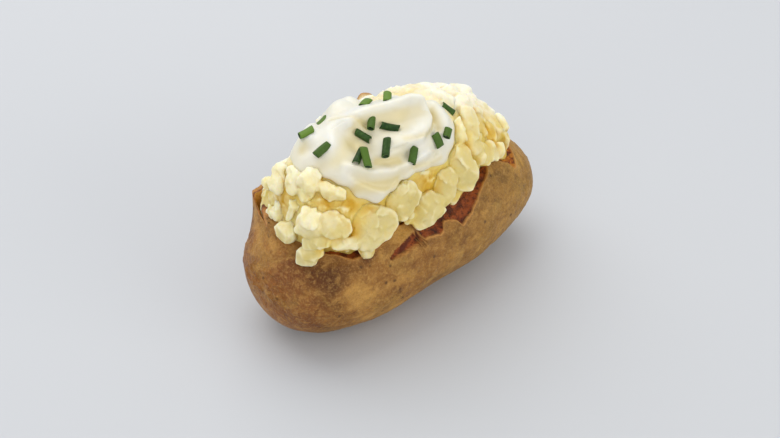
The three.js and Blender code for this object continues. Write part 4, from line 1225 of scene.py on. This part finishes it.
class Finish:
    """A material being put together: its tree, its shader and short calls for its nodes."""

    def __init__(self, name, roughness, **plain):
        """Starts with a Principled BSDF; plain values are set on its own sockets by their names."""
        self.material = bpy.data.materials.new(name)
        self.material.use_nodes = True
        self.tree = self.material.node_tree
        self.tree.nodes.clear()
        self.shader = self.tree.nodes.new("ShaderNodeBsdfPrincipled")
        end = self.tree.nodes.new("ShaderNodeOutputMaterial")
        self.tree.links.new(self.shader.outputs["BSDF"], end.inputs["Surface"])
        self.shader.inputs["Roughness"].default_value = roughness
        for label, value in plain.items():
            self.shader.inputs[label.replace("_", " ")].default_value = value
        self.place = self.tree.nodes.new("ShaderNodeTexCoord").outputs["Object"]

    def placed(self, group, **values):
        """A shared group's amount on the object's own coordinates, with these values."""
        node = self.tree.nodes.new("ShaderNodeGroup")
        node.node_tree = group
        self.tree.links.new(self.place, node.inputs["Place"])
        for label, value in values.items():
            node.inputs[label].default_value = value
        return node.outputs["Amount"]

    def blotches(self, scale, low, high, detail, distortion=0.0):
        """Cloudy blotches: their fineness, the noise levels that give 0 and 1, detail, warp."""
        return self.placed(
            BLOTCHES, Scale=scale, Low=low, High=high, Detail=detail, Distortion=distortion,
        )

    def specks(self, scale, size, sharpness):
        """Round specks: their fineness, size and sharpness."""
        return self.placed(SPECKS, Scale=scale, Size=size, Sharpness=sharpness)

    def mark(self, name):
        """One of the piece's own values per point."""
        node = self.tree.nodes.new("ShaderNodeAttribute")
        node.attribute_name = name
        return node.outputs["Fac"]

    def mix(self, amount, first, second):
        """From the first colour to the second by the amount, held between 0 and 1."""
        node = self.tree.nodes.new("ShaderNodeMix")
        node.data_type = "RGBA"
        node.clamp_factor = True
        feed(self.tree, amount, node.inputs[0])
        feed(self.tree, first, node.inputs[6])
        feed(self.tree, second, node.inputs[7])
        return node.outputs[2]

    def times(self, first, second):
        """Two amounts multiplied."""
        return math_node(self.tree, "MULTIPLY", first, second)

    def sum(self, *terms):
        """Sum of amounts, each times its factor."""
        total = None
        for amount, factor in terms:
            scaled = self.times(amount, factor)
            total = scaled if total is None else math_node(self.tree, "ADD", total, scaled)
        return total

    def over(self, base, amount, share, *tone):
        """The base with a screen tone over it, as far as the amount times the share."""
        return self.mix(self.times(amount, share), base, linear(*tone))

    def level(self, amount, low, high):
        """The amount stretched so that low gives 0 and high gives 1."""
        return spread(self.tree, amount, low, high)

    def along(self, axis, low, high):
        """0 to 1 along one of the object's axes, between two places in metres."""
        node = self.tree.nodes.new("ShaderNodeSeparateXYZ")
        self.tree.links.new(self.place, node.inputs[0])
        return self.level(node.outputs[axis], low, high)

    def bump(self, height, strength, distance):
        """Relief on the shader's normal, its greatest depth in metres."""
        node = self.tree.nodes.new("ShaderNodeBump")
        node.inputs["Strength"].default_value = strength
        node.inputs["Distance"].default_value = distance
        self.tree.links.new(height, node.inputs["Height"])
        self.tree.links.new(node.outputs["Normal"], self.shader.inputs["Normal"])

    def colour(self, socket):
        """The colour that the shader takes."""
        self.tree.links.new(socket, self.shader.inputs["Base Color"])


# mottling of the skin: fineness, the two noise levels, detail, warp, share, tone
SKIN_MOTTLES = [
    (60, 0.46, 0.68, 5, 1.2, 0.42, (190, 150, 74)),
    (95, 0.48, 0.72, 6, 1.0, 0.4, (108, 68, 28)),
    (190, 0.5, 0.76, 6, 0.6, 0.34, (108, 60, 22)),
    (330, 0.45, 0.72, 5, 0.8, 0.38, (216, 166, 88)),
    (420, 0.5, 0.72, 5, 0.0, 0.4, (106, 62, 24)),
    (1100, 0.5, 0.66, 3, 0.0, 0.18, (224, 180, 108)),
    (1300, 0.5, 0.66, 3, 0.0, 0.2, (98, 58, 24)),
]


def skin_finish():
    """Baked skin: brown to tan after its tone, mottled finely, redder and shinier at the thick end.

    Torn stuff is dark red-brown with golden strands at the thin end; the inside is golden tan.
    """
    rough = 0.48
    f = Finish("baked_skin", rough, Specular_IOR_Level=0.26)
    tone = f.mark("tone")
    to_thick = f.along("X", -0.052, -0.07)
    # the tone's darks and pales hold some painted shade below the flesh and painted sheen at the
    # thick end
    base = f.mix(f.level(tone, 0.0, 0.62), linear(90, 50, 14), linear(150, 102, 44))
    base = f.mix(f.level(tone, 0.5, 1.05), base, linear(200, 150, 74))
    base = f.over(base, to_thick, 0.4, 170, 100, 44)
    base = f.over(base, f.along("X", -0.02, 0.06), 0.45, 172, 136, 64)
    for scale, low, high, detail, distortion, share, mottle in SKIN_MOTTLES:
        base = f.over(base, f.blotches(scale, low, high, detail, distortion), share, *mottle)
    spots = f.sum((f.specks(230, 0.24, 7.0), 0.7), (f.specks(90, 0.16, 9.0), 0.5))
    base = f.mix(spots, base, linear(70, 42, 20))
    torn = f.mix(f.blotches(260, 0.4, 0.62, 5), linear(92, 38, 14), linear(150, 74, 28))
    torn = f.over(torn, f.blotches(500, 0.5, 0.66, 3), 0.8, 54, 24, 10)
    strands = f.times(f.along("X", 0.044, 0.05), f.blotches(420, 0.42, 0.58, 4, 0.6))
    torn = f.over(torn, strands, 0.9, 204, 132, 40)
    colour = f.mix(f.mark("bare"), base, torn)
    colour = f.mix(f.mark("inner"), colour, linear(206, 150, 66))
    colour = f.over(colour, f.mark("rim"), 0.8, 214, 154, 84)
    f.colour(f.mix(f.mark("pale"), colour, linear(240, 218, 166)))
    shine = math_node(f.tree, "SUBTRACT", rough, f.times(to_thick, 0.12))
    f.tree.links.new(shine, f.shader.inputs["Roughness"])
    pores = f.sum(
        (f.blotches(900, 0.3, 0.7, 4), 0.5), (f.blotches(260, 0.3, 0.7, 5), 0.7), (spots, -0.4),
    )
    f.bump(pores, 0.7, 0.0008)
    return f.material


def flesh_finish():
    """Cooked flesh: pale yellow, with painted golden shade in hollows and painted light on top."""
    f = Finish(
        "cooked_flesh", 0.42, Subsurface_Weight=0.75, Subsurface_Scale=0.003,
        Subsurface_Radius=(1.0, 0.85, 0.45), Specular_IOR_Level=0.35,
    )
    crest, deep, hollow = f.mark("crest"), f.mark("deep"), f.mark("hollow")
    base = f.mix(f.blotches(90, 0.35, 0.65, 3), linear(236, 224, 166), linear(245, 238, 202))
    # paler on the crest: partly the flesh's own paler top, partly painted light from above
    base = f.over(base, crest, 0.8, 247, 245, 230)
    # yellower: partly the flesh's own yellow, partly painted shade on its lower and downward faces
    base = f.over(base, f.mark("yellow"), 0.85, 206, 188, 114)
    base = f.over(base, f.blotches(150, 0.45, 0.7, 4, 0.8), 0.45, 226, 204, 112)
    # painted shade: golden low down between the lumps, less on the crest
    base = f.mix(f.sum((deep, 0.9), (crest, -0.5)), base, linear(229, 199, 88))
    # painted shade: golden-brown where the flesh is sunk below its smoothed copy, less on the crest
    sunk = f.sum((f.level(hollow, 0.0, 0.7), 0.55), (crest, -0.25))
    base = f.mix(sunk, base, linear(224, 196, 98))
    # painted highlight: paler where the flesh stands out over its smoothed copy
    base = f.over(base, f.level(hollow, -0.1, -0.6), 0.4, 250, 247, 224)
    # painted shade: deep golden in the low hollows between the lumps at the listed places
    golden = f.times(f.mark("golden"), f.level(hollow, -0.6, 0.25))
    golden = f.times(golden, f.level(deep, 0.0, 0.5))
    f.colour(f.mix(golden, base, linear(208, 160, 14)))
    grain = f.sum((f.blotches(500, 0.3, 0.7, 4), 0.6), (f.blotches(1300, 0.3, 0.7, 3), 0.4))
    f.bump(grain, 0.35, 0.0005)
    return f.material


def cream_finish():
    """Sour cream: warm white, smooth and softly shiny, with painted beige shade in its hollows."""
    f = Finish(
        "sour_cream", 0.32, Subsurface_Weight=0.25, Subsurface_Scale=0.002,
        Subsurface_Radius=(1.0, 0.85, 0.6),
    )
    base = f.mix(f.blotches(60, 0.35, 0.65, 3), linear(230, 230, 223), linear(229, 227, 211))
    # painted shade: beige in the cream's hollows
    f.colour(f.over(base, f.mark("hollow"), 0.85, 222, 208, 158))
    f.bump(f.blotches(220, 0.3, 0.7, 3), 0.12, 0.0004)
    return f.material


def chive_finish():
    """Cut chives: deep green, paler streaks, light green cut rims, dark inside as painted shade."""
    f = Finish("cut_chive", 0.5, Specular_IOR_Level=0.3)
    cut = f.mark("cut")
    base = f.mix(f.mark("tone"), linear(20, 54, 6), linear(98, 130, 42))
    base = f.over(base, f.blotches(700, 0.45, 0.7, 4), 0.3, 78, 120, 38)
    base = f.mix(f.level(cut, 0.2, 0.9), base, linear(104, 142, 66))
    # painted shade: dark in the bore of each tube
    f.colour(f.mix(f.level(cut, 1.1, 1.6), base, linear(40, 66, 28)))
    f.bump(f.blotches(900, 0.3, 0.7, 3), 0.2, 0.0003)
    return f.material


# ---- putting it together ----

def dress(piece, finish, slot_name, *nodes):
    """Gives a piece its material and its body, and hides the solids it stands for. The slot name is
    not used.
    """
    piece.data.materials.append(finish)
    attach(piece, "root")
    if nodes:
        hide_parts(*nodes)


dress(closed_piece("potato_skin", *torn_skin()), skin_finish(), "skin", "jacket")
cooked = flesh_finish()
dress(put_mesh("fluffed_flesh", *fluffed_flesh()), cooked, "flesh", "flesh")
dress(put_mesh("broken_chunks", *broken_chunks()), cooked, "flesh")
dress(closed_piece("sour_cream_folds", *sour_cream()), cream_finish(), "cream", "sour_cream")
dress(put_mesh("cut_chives", *all_chives()), chive_finish(), "cream")

# ---- floor, light and camera ----

# the camera's angles, and its right, back and up directions
AZIMUTH = math.radians(-39.0)
ELEVATION = math.radians(40.0)
RIGHT = np.array([math.cos(AZIMUTH), math.sin(AZIMUTH), 0.0])
BACK = np.array([
    math.sin(AZIMUTH) * math.cos(ELEVATION), -math.cos(AZIMUTH) * math.cos(ELEVATION),
    math.sin(ELEVATION),
])
UP = np.cross(BACK, RIGHT)
# all in metres: what the lights face, what the camera looks at, and from how far
LIT_MIDDLE = np.array([0.0, 0.0, 0.04])
AIM = np.array([0.0, 0.0, 0.029]) - 0.00175 * RIGHT + 0.00189 * UP
CAMERA_DISTANCE = 1.118


def floor():
    """A pale square floor, 6 m wide, as a flat grid of points."""
    steps = np.linspace(-3000, 3000, 5)
    x, y = np.meshgrid(steps, steps, indexing="ij")
    points = np.stack([x, y, 0 * x], axis=-1).reshape(-1, 3)
    piece = put_mesh("pale_floor", points, grid_faces(5, 5, wrap=False))
    f = Finish("pale_floor", 0.9)
    f.shader.inputs["Base Color"].default_value = linear(198, 201, 205)
    piece.data.materials.append(f.material)


def place_at(thing, place, back):
    """Stands a light or camera at a place with its back to the given direction."""
    back = Vector(back).normalized()
    right = Vector((0, 0, 1)).cross(back)
    right = right.normalized() if right.length > 1e-6 else Vector((1, 0, 0))
    turn = Matrix((right, back.cross(right), back)).transposed().to_4x4()
    thing.matrix_world = Matrix.Translation(Vector(place)) @ turn


def area_light(name, direction, distance, size, power, colour):
    """A square soft light at a distance along a direction, facing the potato."""
    data = bpy.data.lights.new(name, "AREA")
    data.shape = "SQUARE"
    data.size = size
    data.energy = power
    data.color = colour
    lamp = bpy.data.objects.new(name, data)
    bpy.context.collection.objects.link(lamp)
    direction = np.array(direction) / np.linalg.norm(direction)
    place_at(lamp, LIT_MIDDLE + direction * distance, direction)


floor()
high_left = -0.25 * RIGHT + 0.9 * UP + 0.2 * BACK
from_front = -0.3 * RIGHT - 0.15 * UP + 0.9 * BACK
from_right = 0.8 * RIGHT - 0.1 * UP + 0.5 * BACK
area_light("window_light", high_left, 1.0, 1.2, 7.0, (1.0, 0.98, 0.96))
area_light("front_fill", from_front, 1.3, 1.0, 3.2, (1.0, 0.97, 0.93))
area_light("side_fill", from_right, 1.2, 0.9, 4.6, (1.0, 0.96, 0.9))

world = bpy.data.worlds.new("pale_room")
world.use_nodes = True
sky = world.node_tree.nodes["Background"]
sky.inputs["Color"].default_value = (0.92, 0.93, 0.95, 1.0)
sky.inputs["Strength"].default_value = 0.72
bpy.context.scene.world = world

camera_data = bpy.data.cameras.new("camera")
camera_data.sensor_width = 36.0
camera_data.lens = 120.0
camera_data.clip_end = 20.0
camera = bpy.data.objects.new("camera", camera_data)
bpy.context.collection.objects.link(camera)
place_at(camera, AIM + CAMERA_DISTANCE * BACK, BACK)
bpy.context.scene.camera = camera
bpy.context.scene.view_settings.view_transform = "Standard"
